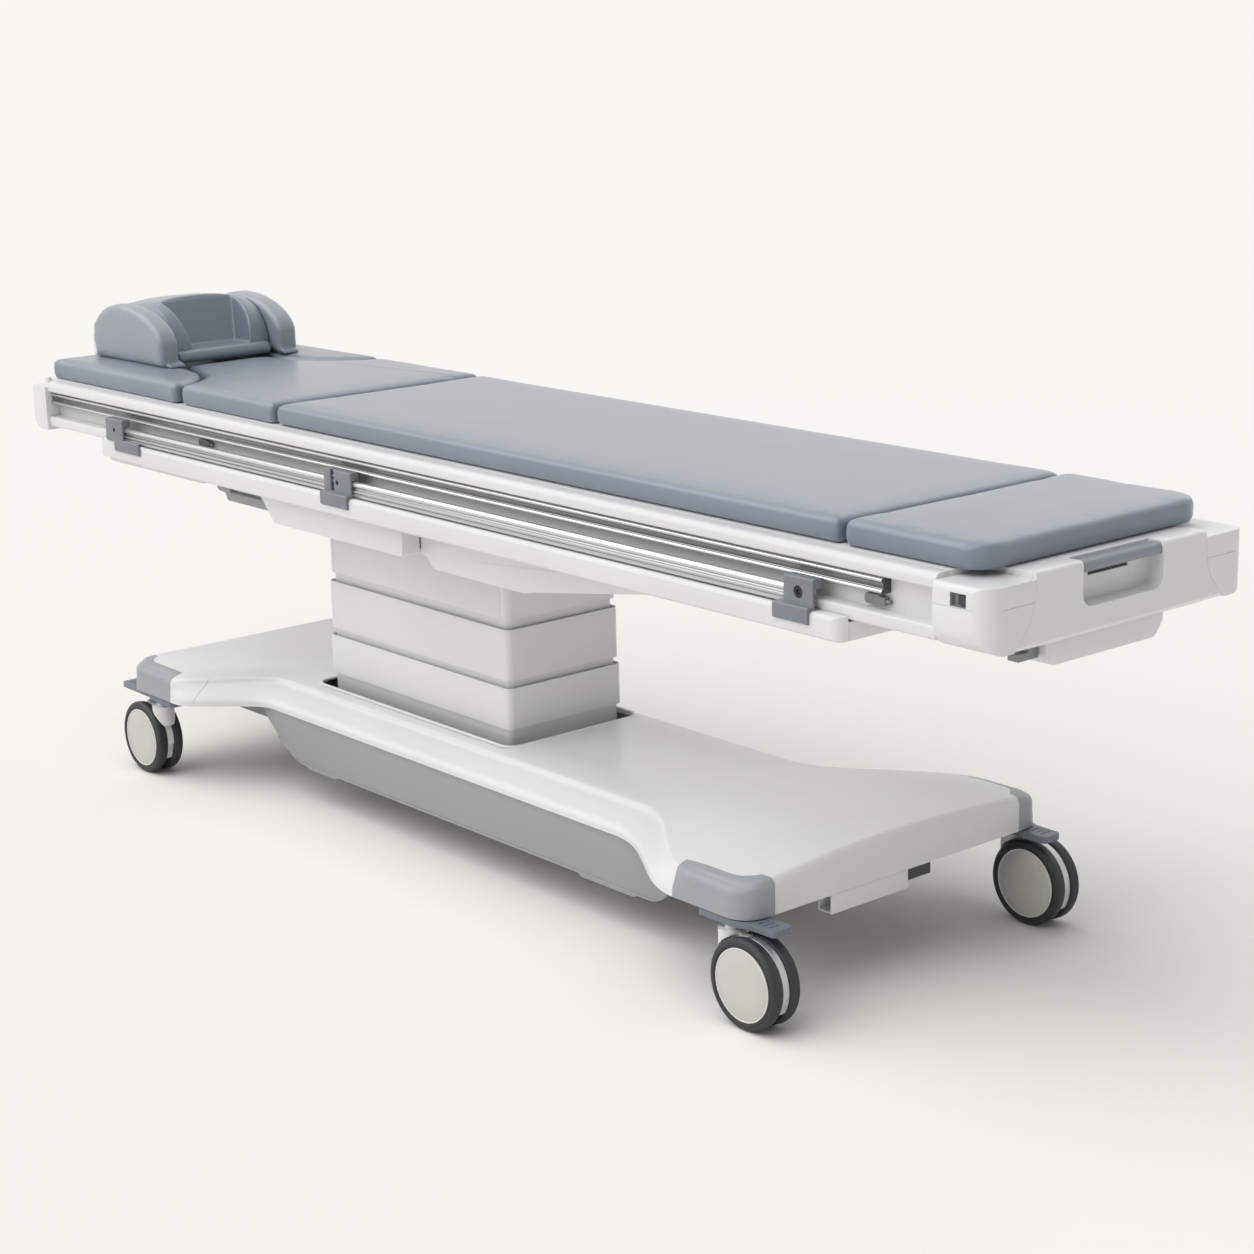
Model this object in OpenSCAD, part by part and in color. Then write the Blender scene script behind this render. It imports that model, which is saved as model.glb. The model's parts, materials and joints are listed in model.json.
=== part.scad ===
/* [Tabletop] */
// Overall length, head end cap to foot panel
table_l = 2790; // [2500:10:3000]
// Width over the end caps
table_w = 584; // [560:2:640]
// Height of the deck that the pads lie on
deck_z = 770; // [750:5:820]
// Thickness of the tabletop board
board_t = 28; // [20:1:36]
// Depth of the side profiles below the deck
frame_h = 97; // [90:1:110]
// Height of the rounded lip at the top of each side profile
lip_h = 22; // [16:1:26]
// Height of the ledge at the bottom of each side profile
ledge_h = 21; // [16:1:24]
// How far the lip and the ledge stand out from the profile's back wall
profile_d = 26; // [22:1:28]
// Wall of the side profiles
profile_wall = 4; // [3:0.5:6]
// Length of the head end cap
head_cap_l = 77; // [60:1:100]
// Length of each foot corner cap
foot_cap_l = 102; // [80:1:120]
// Half width of the foot panel between the corner caps
panel_half = 190; // [160:5:200]
// Depth of the foot panel behind the foot pad
panel_t = 43; // [38:1:48]
// Slide travel towards the head end
travel_head = 70; // [20:1:80]
// Slide travel towards the foot end
travel_foot = 180; // [100:5:190]

/* [Pads] */
// Width of the pads
pad_w = 510; // [480:2:520]
// Thickness of the pads
pad_t = 44; // [30:1:60]
// Gap between neighbouring pads
pad_gap = 3; // [2:0.5:6]
// Length of the foot pad
foot_pad_l = 276; // [200:1:320]
// Length of the shoulder pad at its wings
shoulder_l = 351; // [320:1:420]
// How far the shoulder pad's tongue reaches towards the head
tongue_l = 230; // [190:1:250]
// Half width of the tongue, which the head pads lie beside
tongue_half = 103; // [80:1:130]
// Corner radius of the foot pad's foot end
foot_pad_r = 45; // [30:5:90]

/* [Headrest] */
// Length of the headrest along the table
rest_l = 310; // [260:5:360]
// Height of the headrest above the pads
rest_h = 128; // [100:2:160]
// Width of the cradle between the bolsters
cradle_w = 244; // [220:2:250]
// Thickness of each bolster
bolster_t = 46; // [36:1:50]
// Width of the hollow for the head
hollow_w = 166; // [150:2:170]

/* [Rails and brackets] */
// Height of the upper side rail
rail_h = 24; // [20:1:26]
// How far the upper rail stands out of its wall
rail_d = 20; // [8:1:21]
// Height of the lower side rail
lower_rail_h = 29; // [24:1:32]
// Thickness of the lower side rail
lower_rail_d = 9.5; // [7:0.5:10]

/* [Slide beam and carriage] */
// How far the slide beam ends short of the head end
beam_in_head = 309; // [280:1:340]
// How far the slide beam ends short of the foot end
beam_in_foot = 270; // [255:1:320]
// Overall width of the slide beam
beam_w = 616; // [600:2:660]
// Height of the slide beam's sides
beam_h = 38; // [32:1:42]
// Thickness of the slide beam's floor
beam_floor = 8; // [5:1:12]
// Half width of the head-side carriage cover
cover_head_half = 270; // [240:5:280]
// Half width of the foot-side carriage cover
cover_foot_half = 230; // [180:5:250]
// Length of the head-side carriage cover
cover_head_l = 483; // [440:1:520]
// Length of the foot-side carriage cover
cover_foot_l = 711; // [600:1:760]
// Depth of the head-side carriage cover
cover_head_h = 59; // [50:1:66]
// Depth of the foot-side carriage cover
cover_foot_h = 82; // [76:1:90]
// Wall of the moulded covers
cover_wall = 3; // [2:0.5:4]

/* [Column] */
// Distance of the column from the middle of the table
column_x = -195; // [-220:5:-170]
// Length of the lower sleeve
column_l = 590; // [540:5:620]
// Width of the lower sleeve
column_w = 270; // [250:1:274]
// Wall of the sleeves
sleeve_wall = 2; // [1.5:0.25:3]
// Play between each sleeve and the next one inside it
sleeve_gap = 0.5; // [0.4:0.1:2]
// Top of the lower sleeve's panel
lower_top_z = 331; // [325:1:338]
// Top of the middle sleeve's panel
middle_top_z = 441; // [435:1:450]
// Travel of each lift stage, both up and down
stage_travel = 75; // [40:5:80]

/* [Base] */
// Length of the base
base_l = 1900; // [1800:10:1960]
// Width of the base over the corner bumpers
base_w = 694; // [680:2:720]
// Width of the base at its waist
waist_w = 444; // [430:2:480]
// Bottom edge of the base cover
cover_z = 172; // [170:1:176]
// Top of the base cover beside the column
cover_top_z = 230; // [226:1:240]
// Extra height of the cover at the foot end
foot_crown = 17; // [0:1:25]
// Wall of the base cover
base_wall = 4; // [3:0.5:5]
// Corner radius of the base in plan
base_r = 45; // [30:5:60]
// Depth of the grey skirts below the cover
skirt_h = 97; // [80:1:104]

/* [Casters] */
// Diameter of the wheels
wheel_d = 150; // [140:1:150]
// Width of each of the two wheels
tyre_w = 22; // [18:1:24]
// Gap between the two wheels
wheel_gap = 15; // [13:1:20]
// Distance of the axle from the swivel axis
trail = 50; // [40:1:55]
// Radius of the swivel stem
stem_r = 8; // [6:0.5:9]
// How far the swivel axes stand in from the sides of the base
track_in = 19; // [17:1:27]

/* [Hidden] */
$fn = 64;
fit = 0.3;
running = 0.05;
far = 4000;

// Colours of the finishes
white = "#f1f0ee";
grey_light = "#dcdcda";
grey_skirt = "#a7a9aa";
blue_light = "#b4b8c0";
grey_blue = "#7a8390";
pad_blue = "#8d97a8";
bolster_blue = "#a3a9b4";
metal = "#c9c9c9";
dark = "#44484c";
steel = "#8b8f93";

// Ends and levels of the tabletop
head_x = -table_l / 2;
foot_x = table_l / 2;
frame_z = deck_z - frame_h;
ledge_top = frame_z + ledge_h;
lip_bottom = deck_z - lip_h;
board_z = deck_z - board_t;
cap_half = table_w / 2;
face_half = cap_half - 6;
wall_half = face_half - profile_d;
board_half = wall_half - profile_wall;
profile_x0 = head_x + head_cap_l;
profile_x1 = foot_x - foot_cap_l;
pad_top = deck_z + pad_t;

// Pads, from the foot end to the head end
pad_half = pad_w / 2;
foot_pad_x1 = foot_x - panel_t - 3;
foot_pad_x0 = foot_pad_x1 - foot_pad_l;
rest_x0 = head_x + 45;
rest_x1 = rest_x0 + rest_l;
tongue_x = rest_x1 - 6;
wing_x = tongue_x + tongue_l;
head_pad_x1 = wing_x - pad_gap;
head_pad_x0 = head_x + 35;
shoulder_x1 = wing_x + shoulder_l;
main_x0 = shoulder_x1 + pad_gap;
main_x1 = foot_pad_x0 - pad_gap;
stop_half = 130;

// Slide beam
beam_half = beam_w / 2;
core_half = beam_half - 10;
beam_x0 = head_x + beam_in_head;
beam_x1 = foot_x - beam_in_foot;
raised_x = beam_x0 + 191;
cover_x0 = column_x - column_l / 2 - 18;
tray_l = 164;
belly_x = cover_x0 - tray_l - 8;
belly_d = 12;
beam_z0 = frame_z - 32;
beam_z1 = beam_z0 + beam_h;
rim_half = face_half + 2;
slide_y = 200;
slide_w = 24;
slide_top = board_z - 52;

// Side rails
rail_z = lip_bottom - 4 - rail_h;
rail_x1 = foot_x - 211;
lower_rail_y = face_half + 2.3;
lower_rail_z = ledge_top - 13;
bracket_x = [beam_x0 + 48, beam_x0 + 866, beam_x1 - 121];
bracket_w = [68, 86, 62];
hook_half = beam_half + 5;
stop_l = 50;
stop_x = [bracket_x[0] + 316, bracket_x[2] + bracket_w[2] + travel_head + 2];

// Column levels
band_z = cover_top_z + 22;
middle_z = lower_top_z + 13;
upper_z = middle_top_z + 17;
skirt_in = 5.5;
column_r = 14;
sleeve_step = sleeve_wall + sleeve_gap;
plate_z = 85;
plate_t = 12;
floor_z = plate_z + plate_t;
carriage_z = beam_z0 - cover_foot_h + 13;
carriage_t = 12;
overlap = 25;

// Base
base_x0 = -940;
base_x1 = base_x0 + base_l;
base_half = base_w / 2;
track_half = base_half - track_in;
waist_half = waist_w / 2;
ridge_drop = 7;
seam_x = column_x - 245;
skirt_z = cover_z - skirt_h;
well_gap = 20;
well_end_gap = 24;
skirt_x0 = base_x0 + 305;
skirt_x1 = base_x1 - 320;

// Casters: swivel axes stand in from the ends of the base by the trail
wheel_r = wheel_d / 2;
swivel_head_x = base_x0 + trail + 56;
swivel_foot_x = base_x1 - trail;
beam_bottom = cover_z + 4;
cross_t = 22;
socket_z = beam_bottom + cross_t;
neck_z = wheel_d;
bar_r = 8;
bar_back = 55;
bar_z = cover_z - 7;
pedal_t = 11;
pedal_top = bar_z + 5;

function mix(a, b, t) = a + (b - a) * t;
function clamp01(t) = max(0, min(1, t));
function smooth(t) = let (c = clamp01(t)) c * c * (3 - 2 * c);
function arc(c, r, a0, a1, n) =
    [for (i = [0:n]) let (a = mix(a0, a1, i / n)) [c[0] + r * cos(a), c[1] + r * sin(a)]];
function flip_y(points) = [for (i = [len(points) - 1:-1:0]) [-points[i][0], points[i][1]]];
function flip(points) = [for (i = [len(points) - 1:-1:0]) [points[i][0], -points[i][1]]];

// Profile in X and Z, extruded from y0 to y1
module prism_y(points, y0, y1) {
    translate([0, y1, 0]) rotate([90, 0, 0]) linear_extrude(y1 - y0) polygon(points);
}
// Profile in Y and Z, extruded from x0 to x1
module prism_x(points, x0, x1) {
    translate([x0, 0, 0]) rotate([90, 0, 90]) linear_extrude(x1 - x0) polygon(points);
}
module box(low, high) {
    translate(low) cube(high - low);
}
module round_rect(l, w, r) {
    square([l - 2 * r, w], center = true);
    square([l, w - 2 * r], center = true);
    for (x = [-1, 1], y = [-1, 1]) translate([x * (l / 2 - r), y * (w / 2 - r)]) circle(r);
}
module round_plate(low, high, r) {
    size = high - low;
    translate([(low[0] + high[0]) / 2, (low[1] + high[1]) / 2, low[2]])
        linear_extrude(size[2]) round_rect(size[0], size[1], r);
}
// Left is +Y. Right is the mirror image.
module side(s) {
    mirror([0, s < 0 ? 1 : 0, 0]) children();
}
module cross_cylinder(x, z, r, y0, y1) {
    translate([x, y1, z]) rotate([90, 0, 0]) cylinder(h = y1 - y0, r = r);
}

// The base body is lofted along X. Its half width swells from the waist to both ends.
function swell(x, foot, head) =
    max(smooth((x - base_x1 + foot[0]) / (foot[0] - foot[1])), smooth((base_x0 + head[0] - x) / (head[0] - head[1])));
function corner_in(x) =
    let (d = base_r - min(x - base_x0, base_x1 - x))
    d <= 0 ? 0 : base_r - sqrt(max(0, base_r * base_r - d * d));
function edge_in(x, r) =
    let (d = r - min(x - base_x0, base_x1 - x)) d <= 0 ? 0 : r - sqrt(max(0, r * r - d * d));
function outline_at(x) = mix(waist_half, base_half, swell(x, [460, 165], [360, 190])) - corner_in(x);
function ridge_at(x) = mix(waist_half - 47, base_half - 8, swell(x, [440, 130], [350, 165])) - corner_in(x);
function shelf_at(x) = mix(waist_half - 92, base_half - 30, swell(x, [425, 105], [340, 135])) - corner_in(x);
function crown_at(x) = cover_top_z + foot_crown * smooth((x - base_x1 + 655) / 600);
function half_section(x, w) =
    let (o = outline_at(x) - w, r = ridge_at(x) - w, s = min(shelf_at(x), r - 14),
        z1 = cover_top_z - ridge_drop - w - edge_in(x, 10), z2 = cover_top_z - w - edge_in(x, 10),
        z3 = crown_at(x) - w - edge_in(x, 10))
    [[o, cover_z - (w > 0 ? 1 : 0)], [o - 0.5, cover_z + 12], [mix(o, r, 0.5) + 2, mix(cover_z, z1, 0.55)],
        [r + 5, z1 - 9], [r + 1, z1 - 2.5], [r - 5, z1 + 0.5], [s, z2], [s * 0.55, mix(z2, z3, 0.7)]];
function ring_section(x, w) =
    let (h = half_section(x, w), n = len(h), top = crown_at(x) - w - edge_in(x, 10))
    concat([for (p = h) [x, -p[0], p[1]]], [[x, 0, top]],
        [for (i = [n - 1:-1:0]) [x, h[i][0], h[i][1]]]);
function stations(x0, x1) =
    concat([for (a = [0:15:90]) x0 + base_r * (1 - cos(a))],
        [for (i = [1:9]) mix(x0 + base_r, base_x0 + 400, i / 9)],
        [for (i = [1:5]) mix(base_x0 + 400, base_x1 - 460, i / 5)],
        [for (i = [1:11]) mix(base_x1 - 460, x1 - base_r, i / 11)],
        [for (a = [75:-15:0]) x1 - base_r * (1 - cos(a))]);
module loft(sections) {
    m = len(sections);
    n = len(sections[0]);
    first = sections[0];
    last = sections[m - 1];
    hubs = [[first[0][0], 0, cover_z + 20], [last[0][0], 0, cover_z + 20]];
    points = concat([for (s = sections) for (p = s) p], hubs);
    sides = [for (i = [0:m - 2]) for (j = [0:n - 1]) let (k = (j + 1) % n)
        each [[i * n + j, i * n + k, (i + 1) * n + j], [i * n + k, (i + 1) * n + k, (i + 1) * n + j]]];
    start = [for (j = [0:n - 1]) [m * n, (j + 1) % n, j]];
    end = [for (j = [0:n - 1]) [m * n + 1, (m - 1) * n + j, (m - 1) * n + (j + 1) % n]];
    polyhedron(points, concat(sides, start, end));
}
module base_form(w) {
    loft([for (x = stations(base_x0 + w, base_x1 - w)) ring_section(x, w)]);
}
module base_shell() {
    difference() {
        base_form(0);
        base_form(base_wall);
    }
}
// Plan of a corner bumper, as seen from above at the foot end, left side
function bumper_plan(grow) =
    let (x0 = base_x1 - 170 - grow, y0 = base_half - 32 - grow, x1 = base_x1 - 23 - grow, r = 42)
    concat([[x0, y0]], arc([x1 - r, y0 - r], r, 90, 20, 6), [[base_x1 + 5, y0 - r + 10],
        [base_x1 + 5, base_half + 5], [x0, base_half + 5]]);
module bumper_zone(end, grow) {
    for (s = [-1, 1]) side(s)
        translate([end < 0 ? base_x0 + base_x1 : 0, 0, 0]) mirror([end < 0 ? 1 : 0, 0, 0])
            translate([0, 0, cover_z - 5]) linear_extrude(100) polygon(bumper_plan(grow));
}

// Channel beam, open towards the middle of the base
module channel(x0, x1, z0, z1) {
    y0 = waist_half - 82;
    y1 = waist_half - 32;
    difference() {
        box([x0, y0, z0], [x1, y1, z1]);
        box([x0 - 1, y0 - 1, z0 + 5], [x1 + 1, y1 - 5, z1 - 5]);
    }
}
module chassis() color(steel) {
    beam_y0 = waist_half - 82;
    beam_y1 = waist_half - 32;
    step_z = beam_bottom - 43;
    difference() {
        union() {
            for (s = [-1, 1]) side(s) {
                channel(skirt_x0 + 20, skirt_x1 - 20, floor_z, floor_z + 53);
                channel(swivel_head_x + bar_back + 12, skirt_x0 + 60, step_z, beam_bottom);
                channel(skirt_x1 - 60, swivel_foot_x - bar_back - 12, step_z, beam_bottom);
                box([skirt_x0 + 20, beam_y0, floor_z], [skirt_x0 + 60, beam_y1, beam_bottom]);
                box([skirt_x1 - 60, beam_y0, floor_z], [skirt_x1 - 20, beam_y1, beam_bottom]);
                for (x = [column_x - 240, column_x + 180, column_x + 600])
                    box([x, beam_y1 - 1, floor_z + 10], [x + 60, waist_half - 10, floor_z + 40]);
            }
            box([column_x - 330, -beam_y1, plate_z], [column_x + 330, beam_y1, floor_z]);
            cross_beam(swivel_foot_x, 1);
            cross_beam(swivel_head_x, -1);
        }
        for (x = [swivel_head_x, swivel_foot_x], s = [-1, 1])
            translate([x, s * track_half, beam_bottom - 1])
                cylinder(h = cross_t + 2, r = stem_r + running);
    }
}
// Cross beam with its brake bar hangers, which face the column
module cross_beam(x, end) {
    bar_x = x - end * bar_back;
    low = end > 0 ? bar_x - 17 : x - 15;
    high = end > 0 ? x + 15 : bar_x + 17;
    inner = bar_x - end * 60;
    difference() {
        union() {
            box([low, 48 - track_half, beam_bottom], [high, track_half - 48, socket_z]);
            box([min(inner, x), 32 - waist_half, beam_bottom], [max(inner, x), waist_half - 32, socket_z]);
            box([x - 15, -base_half + 9, beam_bottom], [x + 15, base_half - 9, socket_z]);
            for (s = [-1, 1], y = [track_half - 58, track_half - 113]) side(s)
                box([bar_x - 14, y - 8, bar_z - bar_r - 4.5], [bar_x + 14, y, beam_bottom + 1]);
        }
        box([min(inner, x) + 16, 132 - waist_half, beam_bottom - 1],
            [max(inner, x) - 16, waist_half - 132, socket_z + 1]);
        cross_cylinder(bar_x, bar_z, bar_r + running, -base_half, base_half);
    }
}
module base_cover() color(white) {
    difference() {
        base_shell();
        box([base_x0 - 10, -far, 0], [seam_x + 0.4, far, far]);
        column_well();
        bumper_zone(1, fit);
    }
}
module base_head_cover() color(white) {
    difference() {
        base_shell();
        box([seam_x - 0.4, -far, 0], [base_x1 + 10, far, far]);
        column_well();
        bumper_zone(-1, fit);
    }
}
module column_well() {
    half_l = column_l / 2 + well_end_gap;
    half_w = column_w / 2 + well_gap;
    round_plate([column_x - half_l, -half_w, cover_z], [column_x + half_l, half_w, cover_top_z + 40], 26);
}
module bumpers(end) color(blue_light) {
    intersection() {
        base_shell();
        bumper_zone(end, 0);
    }
}
module skirt(s) color(grey_skirt) {
    x0 = skirt_x0;
    x1 = skirt_x1;
    top = cover_z - fit;
    profile = concat([[x0, top], [x0 + 90, skirt_z + 24], [x0 + 122, skirt_z + 6], [x0 + 150, skirt_z]],
        [[x0 + 165, skirt_z], [x0 + 172, skirt_z - 5], [x0 + 270, skirt_z - 5], [x0 + 277, skirt_z]],
        [[x1 - 250, skirt_z], [x1 - 243, skirt_z - 5], [x1 - 100, skirt_z - 5], [x1 - 93, skirt_z]],
        arc([x1 - 60, skirt_z + 60], 60, -90, 0, 8), [[x1, top]]);
    side(s) difference() {
        prism_y(profile, waist_half - 10, waist_half - 4);
        box([x0 - 1, waist_half - 4.8, skirt_z + 5], [x1 + 1, waist_half, skirt_z + 6.2]);
    }
}
module foot_underpan() color(white) {
    x0 = swivel_foot_x + 18;
    x1 = base_x1 - 1;
    top = cover_z - fit;
    difference() {
        box([x0, -160, top - 33], [x1, 15, top]);
        box([x0 + 3, -161, top - 29], [x1 - 4, 11, top - 5]);
        box([x0 - 1, -120, top - 26], [x0 + 5, -20, top - 8]);
    }
}
module power_unit() color(dark) {
    head = column_x - 520;
    difference() {
        box([head, -140, floor_z + 3], [head + 180, 140, cover_z - 4]);
        for (y = [-120:20:120]) box([head - 1, y - 3, floor_z + 20], [head + 5, y + 3, cover_z - 22]);
    }
    box([swivel_foot_x + 18, 15.3, cover_z - 21], [base_x1 - 3, 70, cover_z - fit]);
}

// Brake bar: a round cross bar with a pedal over each caster
module brake_bar(x, end) color(grey_blue) {
    bar_x = x - end * bar_back;
    tip = bar_back + (end < 0 ? 160 : 100);
    edge = track_half + 17;
    inner = track_half - 38;
    bar_half = edge - 9;
    cross_cylinder(bar_x, bar_z, bar_r, -bar_half, bar_half);
    for (s = [-1, 1]) side(s)
        translate([bar_x, 0, pedal_top - pedal_t]) mirror([end < 0 ? 1 : 0, 0, 0]) difference() {
            linear_extrude(pedal_t) difference() {
                polygon(concat([[-10, inner + 8], [-4, inner]], [[bar_back + 30, inner]],
                    arc([tip - 8, inner + 10], 8, -90, 0, 4), arc([tip - 8, edge - 20], 8, 0, 90, 4),
                    [[bar_back + 44, edge - 10], [bar_back + 26, edge - 2], [bar_back + 10, edge],
                    [-4, edge], [-10, edge - 8]]));
                translate([bar_back, track_half]) circle(stem_r + 6);
            }
            for (i = [0:2]) translate([tip - 44 + 12 * i, inner + 14, pedal_t - 1])
                cube([4, edge - inner - 34, 2]);
        }
}

// Caster parts stand at the swivel axis and trail towards +X
module caster_at(x, s, end) {
    translate([x, s * track_half, 0]) rotate([0, 0, end > 0 ? 0 : 180]) children();
}
module fin_wedge(grow) {
    reach = wheel_r - 2;
    polygon(concat([[0, 0]], arc([0, 0], reach + (grow > 0 ? 5 : 0), 98 - grow, 184 + grow, 12)));
}
module caster_fork() color(grey_light) {
    fin = wheel_gap / 2 - 1;
    difference() {
        union() {
            translate([0, 0, neck_z - 34]) cylinder(h = 34, r1 = 15, r2 = 23);
            translate([0, 0, neck_z]) cylinder(h = beam_bottom - neck_z - fit, r = stem_r + 4);
            translate([0, 0, neck_z]) cylinder(h = socket_z - neck_z - 1, r = stem_r);
        }
        cross_cylinder(trail, wheel_r, wheel_r + 2.5, -40, 40);
    }
    difference() {
        translate([trail, fin, wheel_r]) rotate([90, 0, 0]) linear_extrude(2 * fin) {
            fin_wedge(0);
            circle(16);
            polygon([[-trail - 20, wheel_r - 1], [-trail - 14, 30], [-40, 0], [0, 0], [0, 60],
                [-trail + 22, wheel_r - 1]]);
        }
        cross_cylinder(trail, wheel_r, 6 + running, -40, 40);
    }
}
module caster_hood() color(metal) {
    fin = wheel_gap / 2 - 1;
    difference() {
        cross_cylinder(trail, wheel_r, wheel_r - 4, -fin, fin);
        translate([trail, fin + 1, wheel_r]) rotate([90, 0, 0]) linear_extrude(2 * fin + 2) {
            fin_wedge(0.5);
            circle(16.3);
            polygon([[-trail - 30, wheel_r + 2], [-trail - 30, 20], [-40.4, -0.4], [0, -0.4], [0.4, 60],
                [-trail + 22.4, wheel_r + 2]]);
        }
        box([-50, -20, -1], [150, 20, wheel_r * 0.5]);
    }
}
module wheel_half() {
    r = wheel_r;
    w = tyre_w;
    rotate_extrude() polygon(concat([[0, 0], [r - 30, 0], [r - 28, 3], [r - 16, 3], [r - 14, 0]],
        arc([r - 6, 6], 6, -90, 0, 5), arc([r - 7, w - 7], 7, 0, 90, 6),
        [[r - 12, w], [r - 13, w - 1.5], [r - 14.5, w - 1.5], [r - 15.5, w], [0, w]]));
}
module caster_wheels() color(dark) {
    for (s = [-1, 1]) side(s) translate([trail, wheel_gap / 2, wheel_r]) rotate([-90, 0, 0]) wheel_half();
    cross_cylinder(trail, wheel_r, 6, -wheel_gap / 2 - 1, wheel_gap / 2 + 1);
}

// Column sleeves: a wide panel with a narrower skirt below it that runs in the next sleeve
module sleeve(step, panel_z0, panel_z1, skirt_z0, inset) {
    l = column_l - 2 * step;
    w = column_w - 2 * step;
    r = column_r;
    t = sleeve_wall;
    translate([column_x, 0, 0]) difference() {
        union() {
            translate([0, 0, panel_z0]) linear_extrude(panel_z1 - panel_z0) round_rect(l, w, r);
            translate([0, 0, skirt_z0]) linear_extrude(panel_z0 - skirt_z0 + 1)
                round_rect(l - 2 * inset, w - 2 * inset, r - 2);
        }
        translate([0, 0, panel_z0 + t]) linear_extrude(panel_z1 - panel_z0)
            round_rect(l - 2 * t, w - 2 * t, r - t);
        translate([0, 0, skirt_z0 - 1]) linear_extrude(panel_z0 - skirt_z0 + t + 2)
            round_rect(l - 2 * (inset + t), w - 2 * (inset + t), r - t - 2);
    }
}
module lower_sleeve() color(white) {
    sleeve(0, band_z, lower_top_z, floor_z, skirt_in);
}
module middle_sleeve() color(white) {
    sleeve(sleeve_step, middle_z, middle_top_z, middle_z - 13 - stage_travel - overlap, skirt_in);
}
module upper_sleeve() color(white) {
    l = column_l / 2 - 2 * sleeve_step;
    w = column_w / 2 - 2 * sleeve_step;
    difference() {
        sleeve(2 * sleeve_step, upper_z, carriage_z, upper_z - 17 - stage_travel - overlap, skirt_in);
        for (x = [-1, 1], y = [-1, 1])
            translate([column_x + x * (l - 20), y * w, upper_z + 4 + carriage_z - upper_z])
                cube([2.4, 2, 2 * (carriage_z - upper_z)], center = true);
    }
}
module tube(l, w, t, z0, z1) {
    translate([column_x, 0, z0]) difference() {
        linear_extrude(z1 - z0) round_rect(l, w, 8);
        translate([0, 0, -1]) linear_extrude(z1 - z0 + 2) round_rect(l - 2 * t, w - 2 * t, 8 - t);
    }
}
tube_l = 150;
tube_w = 90;
tube_t = 5;
tube_play = 0.5;
flange_z = middle_z - 13 - stage_travel - overlap + 1;
module lift_tube_inner() color(steel) {
    tube(tube_l, tube_w, tube_t, floor_z, carriage_z - 2 * stage_travel - 5);
}
module lift_tube_middle() color(steel) {
    grow = 2 * (tube_t + tube_play);
    tube(tube_l + grow, tube_w + grow, tube_t, floor_z + stage_travel + 5, carriage_z - stage_travel - 4);
    l = column_l - 2 * (sleeve_step + skirt_in + sleeve_wall);
    w = column_w - 2 * (sleeve_step + skirt_in + sleeve_wall);
    translate([column_x, 0, flange_z]) difference() {
        linear_extrude(7) round_rect(l, w, column_r - sleeve_wall - 2);
        translate([0, 0, -1]) linear_extrude(9) round_rect(tube_l + grow - 1, tube_w + grow - 1, 7);
        for (x = [-1, 1]) translate([x * 185, 0, -1]) linear_extrude(9) round_rect(140, 150, 20);
    }
}
module lift_tube_outer() color(steel) {
    grow = 4 * (tube_t + tube_play);
    tube(tube_l + grow, tube_w + grow, tube_t, flange_z + 7 + stage_travel + 4, carriage_z);
}
module lift_motor() color(dark) {
    z1 = floor_z + 46;
    translate([column_x + 150, 0, floor_z]) {
        linear_extrude(14) round_rect(110, 110, 12);
        cylinder(h = z1 - floor_z, r = 44);
    }
    box([column_x + tube_l / 2, -18, floor_z], [column_x + 110, 18, floor_z + 4]);
}

// Carriage: steel cradle on the column that carries the slide beam
module carriage() color(steel) {
    half_l = column_l / 2 - 2 * sleeve_step;
    difference() {
        box([column_x - half_l, -113, carriage_z], [column_x + half_l, 113, carriage_z + carriage_t]);
        for (x = [-1, 1]) translate([column_x + x * 180, 0, carriage_z - 1])
            linear_extrude(carriage_t + 2) round_rect(130, 140, 15);
    }
    for (s = [-1, 1]) side(s)
        box([column_x - half_l, 85, carriage_z + carriage_t], [column_x + half_l, 113, beam_z0]);
    for (x = [column_x - half_l, column_x + half_l - 30])
        box([x, -85, carriage_z + carriage_t], [x + 30, 85, beam_z0]);
}
// Moulded cover: two side walls and a floor that follows the profile's lower edge
module cover_shell(profile, half, x0, x1) {
    t = cover_wall;
    top = beam_z0;
    hole_l = column_l / 2 - 2 * sleeve_step + 2;
    hole_w = column_w / 2 - 2 * sleeve_step + 2;
    difference() {
        union() {
            for (s = [-1, 1]) side(s) prism_y(profile, half - t, half);
            difference() {
                prism_y(profile, -half, half);
                translate([0, 0, t]) prism_y([for (p = profile) [p[0], p[1] >= top ? top + 9 : p[1]]],
                    -half + t, half - t);
            }
            box([x0, -half, top - 10], [x0 + t, half, top]);
            box([x1 - t, -half, top - 12], [x1, half, top]);
        }
        box([column_x - hole_l, -hole_w, 0], [column_x + hole_l, hole_w, top + 1]);
    }
}
cover_split = cover_x0 + cover_head_l;
module carriage_cover_head() color(white) {
    x0 = cover_x0;
    z0 = beam_z0 - cover_head_h;
    profile = concat([[x0, beam_z0], [x0 + 10, beam_z0 - 10]], arc([x0 + 61, z0 + 14], 14, 222, 270, 5),
        arc([cover_split - 7, z0 + 7], 7, 270, 360, 4), [[cover_split, beam_z0]]);
    difference() {
        union() {
            cover_shell(profile, cover_head_half, x0 + 10, cover_split);
            box([cover_split - cover_wall, -cover_head_half, z0 + 7],
                [cover_split, -cover_foot_half - 1, beam_z0]);
            box([cover_split - cover_wall, cover_foot_half + 1, z0 + 7],
                [cover_split, cover_head_half, beam_z0]);
        }
        for (s = [-1, 1]) side(s)
            box([cover_split - 8, cover_head_half - 28, beam_z0 - 18],
                [cover_split + 2, cover_head_half - 12, beam_z0 - 6]);
    }
}
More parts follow.
